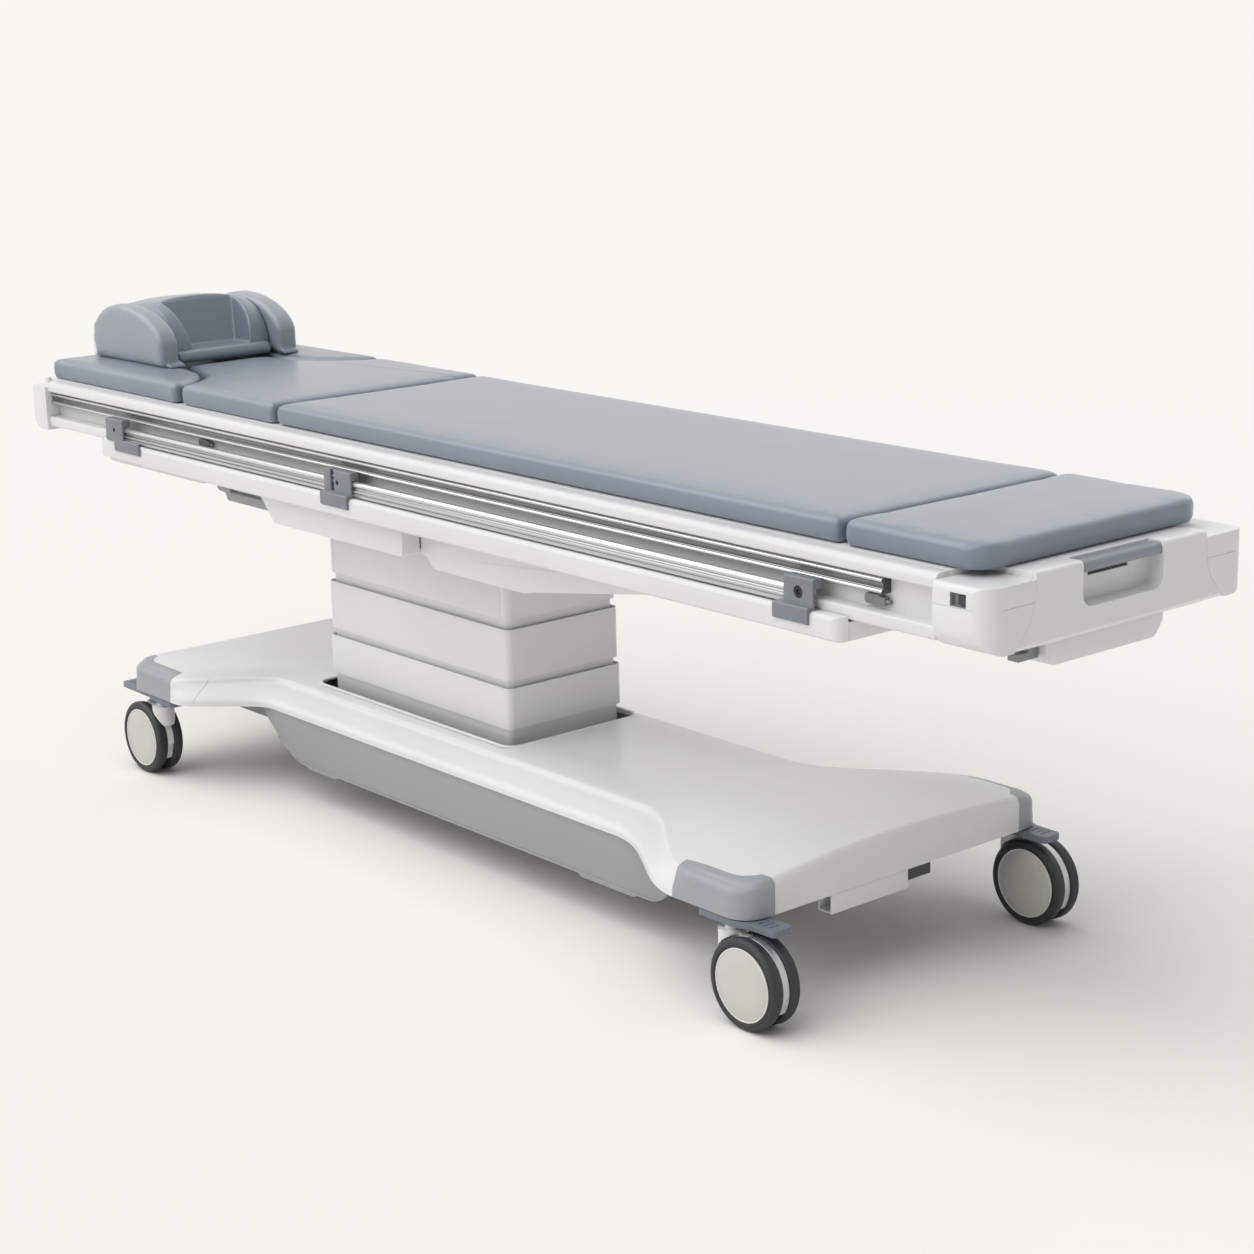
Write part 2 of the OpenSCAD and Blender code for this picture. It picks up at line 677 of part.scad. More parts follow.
module carriage_cover_foot() color(white) {
    x0 = cover_split + 1;
    x1 = x0 + cover_foot_l;
    z0 = beam_z0 - cover_foot_h;
    z1 = beam_z0 - cover_head_h;
    profile = concat([[x0, beam_z0], [x0, z1 + 4]], arc([x0 + 12, z1 - 12], 10, 90, 20, 4),
        arc([x0 + 46, z0 + 22], 22, 200, 270, 5), [[x0 + 0.4 * cover_foot_l, z0]],
        arc([x0 + 0.42 * cover_foot_l, z0 + 60], 60, -82, -66, 3), [[x1 - 40, beam_z0 - 22], [x1, beam_z0]]);
    cover_shell(profile, cover_foot_half, x0, x1);
}
module cable_tray() color(grey_light) {
    x1 = cover_x0 - fit;
    x0 = x1 - tray_l;
    z = beam_z0;
    half = cover_head_half - 8;
    difference() {
        prism_y([[x0, z - 18], [x0 + 6, z - 25], [x0 + 30, z - 26], [x0 + 36, z - 38], [x0 + 40, z - 41],
            [x1 + 22.8, z - 41], [x1 + 22.8, z - 26], [x1 + 9, z - 10], [x1, z], [x0, z]], -half, half);
        for (s = [-1, 1]) side(s) box([x0 + 48, half - 10, z - 23], [x1 - 4, half + 1, z - 4]);
    }
}

// Slide beam: a wide shallow trough that the tabletop runs in
module slide_beam() color(white) {
    z0 = beam_z0;
    end_r = 22;
    difference() {
        union() {
            intersection() {
                round_plate([beam_x0, -core_half, z0], [beam_x1 - 1, core_half, beam_z1], end_r);
                prism_y([[beam_x0, beam_z1], [beam_x0 + 9, z0 + 6], [beam_x0 + 14, z0], [beam_x1, z0],
                    [beam_x1, beam_z1]], -beam_half, beam_half);
            }
            for (s = [-1, 1]) side(s) intersection() {
                round_plate([raised_x, -beam_half, z0], [beam_x1, beam_half, beam_z1], 18);
                prism_x([[rim_half, z0], [beam_half - 4, z0], [beam_half, z0 + 4], [beam_half, beam_z1 - 6],
                    [beam_half - 2, beam_z1 - 2], [beam_half - 6, beam_z1], [rim_half, beam_z1]], raised_x, beam_x1);
            }
            prism_y([[beam_x0 + 10, z0 + 1], [beam_x0 + 22, z0 - belly_d + 2], [beam_x0 + 32, z0 - belly_d],
                [belly_x - 12, z0 - belly_d], [belly_x, z0 - belly_d + 7], [belly_x + 5, z0 + 1]],
                16 - core_half, core_half - 16);
        }
        box([beam_x0 + 8, -rim_half, z0 + beam_floor], [beam_x1 - 8, rim_half, beam_z1 + 1]);
        box([beam_x0 - 1, -rim_half, frame_z - 4], [beam_x1 + 1, rim_half, beam_z1 + 1]);
        box([beam_x0 + 36, -slide_y + 40, z0 - belly_d + 4], [belly_x - 16, slide_y - 40, z0 + beam_floor + 1]);
    }
}
module slide_rails() color(metal) {
    for (s = [-1, 1]) side(s)
        prism_x([[slide_y - slide_w / 2 - 8, beam_z0 + beam_floor], [slide_y + slide_w / 2 + 8, beam_z0 + beam_floor],
            [slide_y + slide_w / 2 + 8, beam_z0 + beam_floor + 5], [slide_y + slide_w / 2, beam_z0 + beam_floor + 5],
            [slide_y + slide_w / 2, slide_top - 2], [slide_y + slide_w / 2 - 2, slide_top],
            [slide_y - slide_w / 2 + 2, slide_top], [slide_y - slide_w / 2, slide_top - 2],
            [slide_y - slide_w / 2, beam_z0 + beam_floor + 5], [slide_y - slide_w / 2 - 8, beam_z0 + beam_floor + 5]],
            beam_x0 + 20, beam_x1 - 20);
}
module slide_bearings() color(dark) {
    for (s = [-1, 1], x = [-0.215 * table_l, 0.215 * table_l]) side(s) difference() {
        box([x - 60, slide_y - 34, slide_top - 16], [x + 60, slide_y + 34, board_z]);
        box([x - 61, slide_y - slide_w / 2 - fit, slide_top - 17], [x + 61, slide_y + slide_w / 2 + fit, slide_top + fit]);
    }
}

// Bracket: hooks over the beam's rim and holds the lower rail behind its plate
module bracket(x, w, hook_x, hook_w, hole_w, slot) {
    y0 = lower_rail_y + lower_rail_d + 0.2;
    y1 = y0 + 4.5;
    z0 = beam_z1 + fit;
    z1 = rail_z - 3;
    back_y = wall_half + rail_d + 3;
    rail_top = lower_rail_z + lower_rail_h + 0.2;
    hook_z = beam_z1 - 20;
    rim_y = hook_x < raised_x ? core_half : beam_half;
    difference() {
        union() {
            prism_x([[y0, z0], [y0, z1 + 5], [back_y, z1 + 5], [back_y, z1 + 9], [y1 - 2, z1 + 9], [y1, z1 + 7],
                [y1, z0]], x, x + w);
            for (web_x = [x, x + w - 4])
                box([web_x, back_y, rail_top], [web_x + 4, y0 + 1, z1 + 6]);
            prism_x([[lower_rail_y - 1, z0], [y0 + 1, z0], [y0 + 1, lower_rail_z - 0.2],
                [lower_rail_y - 1, lower_rail_z - 0.2]], x, x + w);
        }
        translate([x + w * 0.5, y0 - 1, (z0 + z1) / 2 + 5]) rotate([-90, 0, 0])
            linear_extrude(7) round_rect(hole_w, hole_w * 1.01, hole_w * 0.49);
        if (slot) box([x + 22, y0 - 1, rail_top - 24], [x + 33, y1 + 1, z1 + 10]);
    }
    prism_x([[y0, z0], [y0, z0 + 5], [rim_y + 3, z0 + 5], [rim_y + 5, z0 + 3], [rim_y + 5, hook_z + 2],
        [rim_y + 3, hook_z], [rim_y + 0.3, hook_z], [rim_y + 0.3, z0]], hook_x, hook_x + hook_w);
}
module brackets(s) color(grey_blue) {
    side(s) {
        bracket(bracket_x[0], bracket_w[0], bracket_x[0] + 32, 99, 9, false);
        bracket(bracket_x[1], bracket_w[1], bracket_x[1], bracket_w[1], 9, true);
        bracket(bracket_x[2], bracket_w[2], bracket_x[2] - 14, bracket_w[2] + 12, 19, false);
    }
}
// Lower rail: flat bar with a rounded face and two shallow grooves
module lower_rails() color(metal) {
    y0 = lower_rail_y;
    y1 = y0 + lower_rail_d;
    z0 = lower_rail_z;
    z1 = z0 + lower_rail_h;
    for (s = [-1, 1]) side(s)
        prism_x(concat([[y0, z0], [y1 - 2, z0]], [[y1, z0 + 2], [y1, z0 + 7], [y1 - 1.2, z0 + 8], [y1, z0 + 9],
            [y1, z0 + 13], [y1 - 1.2, z0 + 14]], arc([y1 - 6, z1 - 6.5], 6, -60, 90, 8), [[y0, z1 - 0.5]]),
            bracket_x[0] + 8, bracket_x[2] + bracket_w[2] - 8);
}

// Tabletop
module tabletop_board() color(white) {
    box([head_x + 20, -board_half, board_z], [profile_x1, board_half, deck_z]);
    box([profile_x1 - 1, -panel_half + 1, board_z], [foot_x - panel_t, panel_half - 1, deck_z]);
}
module side_profile(s) color(white) {
    y0 = board_half;
    section = concat([[y0, frame_z], [face_half - 3, frame_z], [face_half, frame_z + 3]],
        arc([face_half - 4, ledge_top - 4], 4, 0, 90, 4), [[wall_half, ledge_top], [wall_half, lip_bottom],
        [face_half - 2, lip_bottom]], [[face_half, lip_bottom + 2]],
        arc([face_half - 12, deck_z - 12], 12, 0, 90, 8), [[y0, deck_z]]);
    side(s) prism_x(section, profile_x0, profile_x1);
}
// Upper rail: two rounded ridges with a groove between them
module upper_rails() color(metal) {
    y0 = wall_half;
    y1 = y0 + rail_d;
    z1 = rail_z + rail_h;
    ridge = 3.6;
    for (s = [-1, 1]) side(s)
        prism_x(concat([[y0, rail_z], [y1 - ridge, rail_z]], arc([y1 - ridge, rail_z + ridge], ridge, -90, 90, 6),
            [[y1 - 4, rail_z + 2 * ridge + 1], [y1 - 4, z1 - 2 * ridge - 1]],
            arc([y1 - ridge, z1 - ridge], ridge, -90, 90, 6), [[y0, z1]]),
            profile_x0, rail_x1);
}
module head_end_cap() color(white) {
    z0 = frame_z - 8;
    z1 = deck_z - 12;
    profile = concat([[profile_x0, z0]], arc([head_x + 55, z0 + 42], 42, 270, 190, 6),
        [[head_x + 1, z1 - 14]], arc([head_x + 12, z1 - 12], 12, 175, 90, 5), [[profile_x0, z1]]);
    difference() {
        union() {
            intersection() {
                prism_y(profile, -cap_half, cap_half);
                round_plate([head_x, -cap_half, 0], [profile_x0 + 60, cap_half, far], 26);
            }
            for (s = [-1, 1]) side(s)
                round_plate([head_x + 24, board_half - 26, z1 - 1], [head_x + 40, board_half + 8, deck_z + 2], 4);
        }
        box([head_x + 20, -board_half, board_z], [profile_x0 + 1, board_half, deck_z + 3]);
    }
    end_z = pad_top + 55;
    prism_x(concat([[-stop_half, z1 - 1], [stop_half, z1 - 1]], arc([stop_half - 30, end_z - 30], 30, 0, 90, 8),
        arc([-stop_half + 30, end_z - 30], 30, 90, 180, 8)), head_x + 8, head_x + 19.7);
}
// Seam between the foot panel and a corner cap, from its bottom upwards
function seam_curve(z) = [for (p = [[1, 0], [0.56, 22], [0.28, 36], [0.1, 54], [0, 82]])
    [panel_half + p[0] * seam_out, z + p[1]]];
function flip_list(l) = [for (i = [len(l) - 1:-1:0]) l[i]];
module foot_cap(s) color(white) {
    z0 = frame_z - 9;
    z1 = deck_z - 8;
    r = 34;
    end_profile = concat([[panel_half + 0.5, z1]], arc([cap_half - 10, z1 - 10], 10, 90, 0, 5),
        arc([cap_half - 38, z0 + 38], 38, 0, -90, 8), [for (p = seam_curve(z0)) [p[0] + 0.5, p[1]]]);
    window = [foot_x - 69, deck_z - 39];
    side(s) difference() {
        intersection() {
            prism_x(end_profile, profile_x1, foot_x);
            round_plate([profile_x1 - 100, -cap_half, 0], [foot_x, cap_half, far], r);
        }
        box([window[0], cap_half - 9, window[1]], [window[0] + 30, cap_half + 1, window[1] + 20]);
        translate([window[0] + 19, cap_half + 1, window[1] + 10]) rotate([90, 0, 0])
            cylinder(h = 22, r = 7.6);
        box([profile_x1 - 1, cap_half - 1, frame_z + 56], [foot_x + 1, cap_half + 1, frame_z + 57.2]);
        box([foot_x - 1, 0, frame_z + 56], [foot_x + 1, cap_half + 1, frame_z + 57.2]);
        box([profile_x1 - 1, 0, board_z], [foot_x - panel_t + fit, panel_half + 1, far]);
    }
}
module release_button(s) color(dark) {
    side(s) translate([foot_x - 50, cap_half - 4.5, deck_z - 29]) rotate([90, 0, 0])
        cylinder(h = 12, r = 7.5);
}
seam_out = 45;
pocket_half = 90;
pocket_d = 30;
pocket_z = deck_z - 67;
pivot_x = foot_x - 20;
pivot_z = deck_z - 8;
module foot_panel() color(white) {
    z0 = frame_z - 11;
    z1 = deck_z + 2;
    x0 = foot_x - panel_t;
    low = pocket_half - 20;
    front = concat([[panel_half, z1]], flip_list(seam_curve(z0 + 2)), [[panel_half - 20, z0]]);
    difference() {
        intersection() {
            prism_y(concat([[x0, z0], [foot_x - 8, z0], [foot_x, z0 + 8]], arc([foot_x - 7, z1 - 7], 7, 0, 90, 4),
                [[x0, z1]]), -panel_half - seam_out, panel_half + seam_out);
            prism_x(concat(front, flip_y(front)), x0 - 1, foot_x + 1);
        }
        prism_x(concat([[low + 20, z1 + 1], [-low - 20, z1 + 1]], arc([-low, pocket_z + 20], 20, 180, 270, 6),
            arc([low, pocket_z + 20], 20, 270, 360, 6)), foot_x - pocket_d, foot_x + 1);
        box([foot_x - pocket_d - 8, -45, pocket_z + 36], [foot_x - pocket_d + 1, 45, pocket_z + 46]);
        cross_cylinder(pivot_x, pivot_z, 3 + running, -pocket_half - 7, pocket_half + 7);
    }
}
module release_handle() color(grey_blue) {
    half = pocket_half - 0.6;
    z1 = deck_z - 0.5;
    z0 = deck_z - 18;
    x0 = foot_x - pocket_d + 3;
    x1 = foot_x - 3;
    prism_y(concat([[x0, z1 - 5], [x0, z0 + 3], [x0 + 3, z0], [x1 - 6, z0]], arc([x1 - 6, z0 + 6], 6, -90, 0, 4),
        arc([x1 - 8, z1 - 8], 8, 0, 90, 4), [[x0 + 5, z1]]), -half, half);
    cross_cylinder(pivot_x, pivot_z, 3, -half - 6, half + 6);
}
module dock_box() color(white) {
    z0 = frame_z - 46;
    near = -148;
    back = 113;
    x0 = foot_x - 56;
    x1 = foot_x - 9;
    top = frame_z - 11;
    difference() {
        prism_x(concat([[near, top], [near + 2, z0 + 7], [near + 8, z0]], arc([back - 34, z0 + 14], 14, -90, -30, 4),
            [[back, top]]), x0, x1);
        for (y = [near, back]) translate([x1, y, 0]) rotate([0, 0, 45]) box([-7, -7, 0], [7, 7, far]);
        box([x0 - 1, -60, z0 + 8], [x0 + 14, 60, z0 + 24]);
    }
    box([x0, -125, top - 1], [foot_x - panel_t - fit, back - 4, board_z]);
}
module stop_blocks() color(grey_blue) {
    for (s = [-1, 1], x = stop_x) side(s) {
        translate([x + stop_l / 2 - 7, wall_half, ledge_top + 13]) rotate([-90, 0, 0])
            linear_extrude(8) round_rect(stop_l - 14, 15, 5);
        box([x + stop_l - 22, wall_half, ledge_top + 7], [x + stop_l - 8, wall_half + 10, ledge_top + 19]);
        translate([x + stop_l - 8, wall_half + 5, ledge_top + 13]) rotate([0, 90, 0]) cylinder(h = 8, r = 3.5);
    }
    box([foot_x - 50, -192, frame_z - 36], [foot_x - 30, -150, frame_z - 25]);
    box([foot_x - 50, -170, frame_z - 26], [foot_x - 30, -150, frame_z - 11]);
}

// A pad is a closed form: its sides pull in above and below a full middle, and its top is crowned
function inward(outline, i) =
    let (n = len(outline), a = outline[(i + n - 1) % n], b = outline[(i + 1) % n], d = b - a, l = norm(d))
    [-d[1] / l, d[0] / l];
function inset_ring(outline, d, z) =
    [for (i = [0:len(outline) - 1]) let (p = outline[i] + inward(outline, i) * d) [p[0], p[1], z]];
function toward(ring, c, t, dz) = [for (p = ring) [mix(p[0], c[0], t), mix(p[1], c[1], t), p[2] + dz]];
module cushion(outline, c, z0, z1, crown) {
    n = len(outline);
    top = inset_ring(outline, 13, z1);
    rings = [inset_ring(outline, 5, z0), inset_ring(outline, 1.8, z0 + 4), inset_ring(outline, 0, z0 + 0.42 * (z1 - z0)),
        inset_ring(outline, 0.9, z1 - 9), inset_ring(outline, 3.4, z1 - 4), inset_ring(outline, 7.5, z1 - 1.2),
        top, toward(top, c, 0.3, crown * 0.6), toward(top, c, 0.65, crown * 0.95)];
    m = len(rings);
    points = concat([for (r = rings) each r], [[c[0], c[1], z0], [c[0], c[1], z1 + crown]]);
    sides = [for (i = [0:m - 2]) for (j = [0:n - 1]) let (k = (j + 1) % n)
        each [[i * n + j, (i + 1) * n + j, i * n + k], [i * n + k, (i + 1) * n + j, (i + 1) * n + k]]];
    under = [for (j = [0:n - 1]) [m * n, j, (j + 1) % n]];
    over = [for (j = [0:n - 1]) [m * n + 1, (m - 1) * n + (j + 1) % n, (m - 1) * n + j]];
    polyhedron(points, concat(sides, under, over));
}
function line_points(a, b, n) = [for (i = [1:n - 1]) mix(a, b, i / n)];
function pad_outline(x0, x1, half, r0, r1, nx, ny) =
    concat(arc([x0 + r0, -half + r0], r0, 180, 270, 5), line_points([x0 + r0, -half], [x1 - r1, -half], nx),
        arc([x1 - r1, -half + r1], r1, 270, 360, 6), line_points([x1, -half + r1], [x1, half - r1], ny),
        arc([x1 - r1, half - r1], r1, 0, 90, 6), line_points([x1 - r1, half], [x0 + r0, half], nx),
        arc([x0 + r0, half - r0], r0, 90, 180, 5), line_points([x0, half - r0], [x0, -half + r0], ny));
module main_pad() color(pad_blue) {
    cushion(pad_outline(main_x0, main_x1, pad_half, 12, 12, 10, 6), [(main_x0 + main_x1) / 2, 0], deck_z, pad_top - 3, 3);
}
module foot_pad() color(pad_blue) {
    cushion(pad_outline(foot_pad_x0, foot_pad_x1, pad_half, 12, foot_pad_r, 4, 6),
        [(foot_pad_x0 + foot_pad_x1) / 2, 0], deck_z, pad_top - 3, 3);
}
// Right edge of the tongue: along the head pad, round its tip and out to the wing
function tongue_edge(grow) =
    [[tongue_x + 12, -tongue_half - grow], [tongue_x + 50, -tongue_half - 5 - grow],
        [wing_x - 112, -tongue_half - 20 - grow], [wing_x - 88 + grow, -tongue_half - 34 - grow],
        [wing_x - 56 + grow, -tongue_half - 64], [wing_x - 28 + grow, -tongue_half - 96],
        [wing_x - 10 + grow, -pad_half + 30]];
module shoulder_pad() color(pad_blue) {
    edge = tongue_edge(0);
    half = concat([[tongue_x, -tongue_half + 12], [tongue_x + 3, -tongue_half + 3]], edge,
        arc([wing_x + 12, -pad_half + 12], 12, 190, 270, 4),
        line_points([wing_x + 12, -pad_half], [shoulder_x1 - 12, -pad_half], 5),
        arc([shoulder_x1 - 12, -pad_half + 12], 12, 270, 360, 5));
    outline = concat(half, line_points([shoulder_x1, -pad_half + 12], [shoulder_x1, pad_half - 12], 6), flip(half),
        line_points([tongue_x, tongue_half - 12], [tongue_x, -tongue_half + 12], 4));
    cushion(outline, [(wing_x + shoulder_x1) / 2 - 20, 0], deck_z, pad_top - 3, 3);
}
module head_pad(s) color(pad_blue) {
    edge = tongue_edge(pad_gap);
    near = [for (p = edge) if (p[0] > tongue_x + 20) [p[0] - 2 * pad_gap, p[1] + 0]];
    inner = -tongue_half - pad_gap;
    outline = concat(arc([head_pad_x0 + 14, -pad_half + 14], 14, 180, 270, 5),
        line_points([head_pad_x0 + 14, -pad_half], [head_pad_x1 - 26, -pad_half], 5),
        arc([head_pad_x1 - 20, -pad_half + 14], 14, 270, 350, 4),
        [for (i = [len(near) - 1:-1:0]) near[i]],
        line_points([near[0][0], inner], [head_pad_x0 + 14, inner], 5),
        arc([head_pad_x0 + 14, inner - 14], 14, 90, 180, 5));
    side(-s) cushion(outline, [mix(head_pad_x0, head_pad_x1, 0.47), (inner - pad_half) / 2], deck_z, pad_top - 3, 3);
}

// Headrest: a hollowed cradle between two bolsters
function bolster_profile(x0, l, z0, h) =
    concat([[x0 + 0.04 * l, z0], [x0, z0 + 0.32 * h], [x0 + 0.02 * l, z0 + 0.62 * h]],
        [for (a = [150:-7.5:7.5]) [x0 + l * (0.4 + 0.4 * cos(a) * (a < 90 ? 1.5 : 1)), z0 + h * (0.34 + 0.66 * sin(a))]],
        [[x0 + l, z0]]);
function cradle_profile(x0, l, z0, h) =
    concat([[x0 + 0.05 * l, z0], [x0, z0 + 0.5 * h], [x0 + 0.02 * l, z0 + 0.72 * h], [x0 + 0.08 * l, z0 + 0.83 * h],
        [x0 + 0.25 * l, z0 + 0.92 * h], [x0 + 0.45 * l, z0 + 0.975 * h], [x0 + 0.6 * l, z0 + h]],
        [for (a = [82:-8:2]) [x0 + l * (0.6 + 0.34 * cos(a)), z0 + h * (0.14 + 0.86 * sin(a))]],
        [[x0 + 0.95 * l, z0]]);
module headrest_cradle() color(grey_blue) {
    half = cradle_w / 2;
    z0 = pad_top + 0.4;
    top = pad_top + rest_h;
    floor_z = pad_top + 26;
    back = rest_x0 + 0.72 * rest_l;
    r = 18;
    difference() {
        prism_y(cradle_profile(rest_x0, rest_l, z0, top - z0), -half, half);
        hull() {
            for (x = [back + r, rest_x1 + 60]) translate([x, 0, floor_z + r]) rotate([90, 0, 0])
                cylinder(h = hollow_w - 30, r = r, center = true, $fn = 32);
            for (x = [back + r - 50, rest_x1 + 60]) translate([x, 0, top + 40]) rotate([90, 0, 0])
                cylinder(h = hollow_w + 10, r = r, center = true, $fn = 32);
        }
    }
    lip_z = floor_z - 2;
    prism_y(concat(arc([rest_x1 - 8, z0 + 8], 8, -90, 0, 4), arc([rest_x1 - 14, lip_z - 14], 14, 0, 90, 6),
        [[rest_x1 - 45, lip_z], [rest_x1 - 45, z0]]), -half + 3, half - 3);
    box([rest_x0 + 20, -tongue_half + 4, deck_z], [tongue_x - 6, tongue_half - 4, z0 + 1]);
}
module headrest_bolsters() color(bolster_blue) {
    y0 = cradle_w / 2 + fit;
    x0 = rest_x0 + 32;
    z0 = pad_top + 0.6;
    for (s = [-1, 1]) side(s) {
        prism_y(bolster_profile(x0, rest_l - 22, z0, rest_h - 8), y0, y0 + bolster_t);
        prism_y([[rest_x1 - 20, z0], [rest_x1 + 38, z0], [rest_x1 + 34, z0 + 7], [rest_x1 + 18, z0 + 12],
            [rest_x1 - 20, z0 + 12]], y0, y0 + bolster_t - 8);
    }
}

chassis();
base_cover();
base_head_cover();
skirt(1);  // skirt_left
skirt(-1);  // skirt_right
bumpers(-1);  // bumpers_head
bumpers(1);  // bumpers_foot
foot_underpan();
power_unit();
brake_bar(swivel_head_x, -1);  // brake_bar_head
brake_bar(swivel_foot_x, 1);  // brake_bar_foot
caster_at(swivel_head_x, 1, -1) caster_fork();  // caster_fork_head_left
caster_at(swivel_head_x, -1, -1) caster_fork();  // caster_fork_head_right
caster_at(swivel_foot_x, 1, 1) caster_fork();  // caster_fork_foot_left
caster_at(swivel_foot_x, -1, 1) caster_fork();  // caster_fork_foot_right
caster_at(swivel_head_x, 1, -1) caster_hood();  // caster_hood_head_left
caster_at(swivel_head_x, -1, -1) caster_hood();  // caster_hood_head_right
caster_at(swivel_foot_x, 1, 1) caster_hood();  // caster_hood_foot_left
caster_at(swivel_foot_x, -1, 1) caster_hood();  // caster_hood_foot_right
caster_at(swivel_head_x, 1, -1) caster_wheels();  // caster_wheels_head_left
caster_at(swivel_head_x, -1, -1) caster_wheels();  // caster_wheels_head_right
caster_at(swivel_foot_x, 1, 1) caster_wheels();  // caster_wheels_foot_left
caster_at(swivel_foot_x, -1, 1) caster_wheels();  // caster_wheels_foot_right
lower_sleeve();
middle_sleeve();
upper_sleeve();
lift_tube_inner();
lift_tube_middle();
lift_tube_outer();
lift_motor();
carriage();
carriage_cover_head();
carriage_cover_foot();
cable_tray();
slide_beam();
slide_rails();
brackets(1);  // brackets_left
brackets(-1);  // brackets_right
lower_rails();
tabletop_board();
side_profile(1);  // side_profile_left
side_profile(-1);  // side_profile_right
upper_rails();
head_end_cap();
foot_cap(1);  // foot_cap_left
foot_cap(-1);  // foot_cap_right
foot_panel();
dock_box();
stop_blocks();
slide_bearings();
release_handle();
release_button(1);  // release_button_left
release_button(-1);  // release_button_right
head_pad(1);  // head_pad_left
head_pad(-1);  // head_pad_right
shoulder_pad();
main_pad();
foot_pad();
headrest_cradle();
headrest_bolsters();
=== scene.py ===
import json
import math

import bmesh
import bpy
import numpy as np
from mathutils import Matrix, Vector

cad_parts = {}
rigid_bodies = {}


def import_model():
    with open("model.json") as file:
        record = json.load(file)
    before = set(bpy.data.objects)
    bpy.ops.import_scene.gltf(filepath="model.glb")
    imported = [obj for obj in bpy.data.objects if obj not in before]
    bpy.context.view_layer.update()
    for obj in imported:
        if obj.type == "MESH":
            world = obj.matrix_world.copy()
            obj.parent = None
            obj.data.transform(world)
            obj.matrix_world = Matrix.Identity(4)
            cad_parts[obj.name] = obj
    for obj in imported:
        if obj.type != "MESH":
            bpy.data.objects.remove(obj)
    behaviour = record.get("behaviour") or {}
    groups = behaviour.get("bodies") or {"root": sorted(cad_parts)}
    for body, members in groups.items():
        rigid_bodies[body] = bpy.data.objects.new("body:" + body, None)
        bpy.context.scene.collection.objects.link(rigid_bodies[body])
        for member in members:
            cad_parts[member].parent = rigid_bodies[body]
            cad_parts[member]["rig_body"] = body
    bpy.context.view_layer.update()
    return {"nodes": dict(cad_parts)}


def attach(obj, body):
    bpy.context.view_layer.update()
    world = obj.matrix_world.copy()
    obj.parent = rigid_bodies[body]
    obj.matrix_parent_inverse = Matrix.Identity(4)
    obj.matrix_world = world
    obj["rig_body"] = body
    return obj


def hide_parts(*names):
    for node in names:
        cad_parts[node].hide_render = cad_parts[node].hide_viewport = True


for leftover in list(bpy.data.objects):
    bpy.data.objects.remove(leftover)
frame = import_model()
scene = bpy.context.scene


# The camera stands at the foot end's right corner, a little above the pads, with a long lens.
# Its place comes from fitting the photograph's vanishing lines and the table's sizes together.
azimuth = math.radians(50.13)
elevation = math.radians(14.38)
roll = math.radians(-1.38)
camera_back = Vector(
    (
        math.sin(azimuth) * math.cos(elevation),
        -math.cos(azimuth) * math.cos(elevation),
        math.sin(elevation),
    )
)
level_right = Vector((math.cos(azimuth), math.sin(azimuth), 0))
level_up = camera_back.cross(level_right)
camera_right = level_right * math.cos(roll) + level_up * math.sin(roll)
camera_up = level_up * math.cos(roll) - level_right * math.sin(roll)
camera_data = bpy.data.cameras.new("camera")
camera_data.lens = 72.0
camera_data.sensor_width = 36.0
camera_data.clip_end = 1000.0
camera = bpy.data.objects.new("camera", camera_data)
turn = Matrix((camera_right, camera_up, camera_back)).transposed().to_4x4()
camera.matrix_world = Matrix.Translation((3.624, -2.794, 1.575)) @ turn
scene.collection.objects.link(camera)
scene.camera = camera


# The studio is a pale floor that fades into the same pale background, under two soft lights.
# Camera, mirror and glass rays see the background as the photograph's near white.
class Wire:
    """A shader socket. Its operators add Math nodes, and node() adds any other node."""

    def __init__(self, tree, socket=None):
        self.tree = tree
        self.socket = socket

    def node(self, kind, settings=None, out=0, **inputs):
        made = self.tree.nodes.new("ShaderNode" + kind)
        for name, value in (settings or {}).items():
            if name == "stops":
                ramp = made.color_ramp
                for place, colour in value[2:]:
                    ramp.elements.new(place)
                for element, (place, colour) in zip(ramp.elements, sorted(value)):
                    element.position = place
                    element.color = (*colour, 1)
            else:
                setattr(made, name, value)
        for name, value in inputs.items():
            key = int(name[2:]) if name.startswith("at") else name.replace("_", " ")
            if isinstance(value, Wire):
                self.tree.links.new(value.socket, made.inputs[key])
            else:
                made.inputs[key].default_value = value
        return Wire(self.tree, made.outputs[out])

    def math(self, operation, first, second=0.0):
        return self.node("Math", {"operation": operation}, at0=first, at1=second)

    def __add__(self, other):
        return self.math("ADD", self, other)

    def __sub__(self, other):
        return self.math("SUBTRACT", self, other)

    def __mul__(self, other):
        return self.math("MULTIPLY", self, other)

    def __rsub__(self, other):
        return self.math("SUBTRACT", other, self)

    __radd__ = __add__
    __rmul__ = __mul__


def blank_material(name):
    """A material with an empty node tree, and the wire that builds in it."""
    made = bpy.data.materials.new(name)
    made.use_nodes = True
    made.node_tree.nodes.clear()
    return made, Wire(made.node_tree)


def surfaced(made, surface):
    """The material with this shader as its surface."""
    out = made.node_tree.nodes.new("ShaderNodeOutputMaterial")
    made.node_tree.links.new(surface.socket, out.inputs[0])
    return made


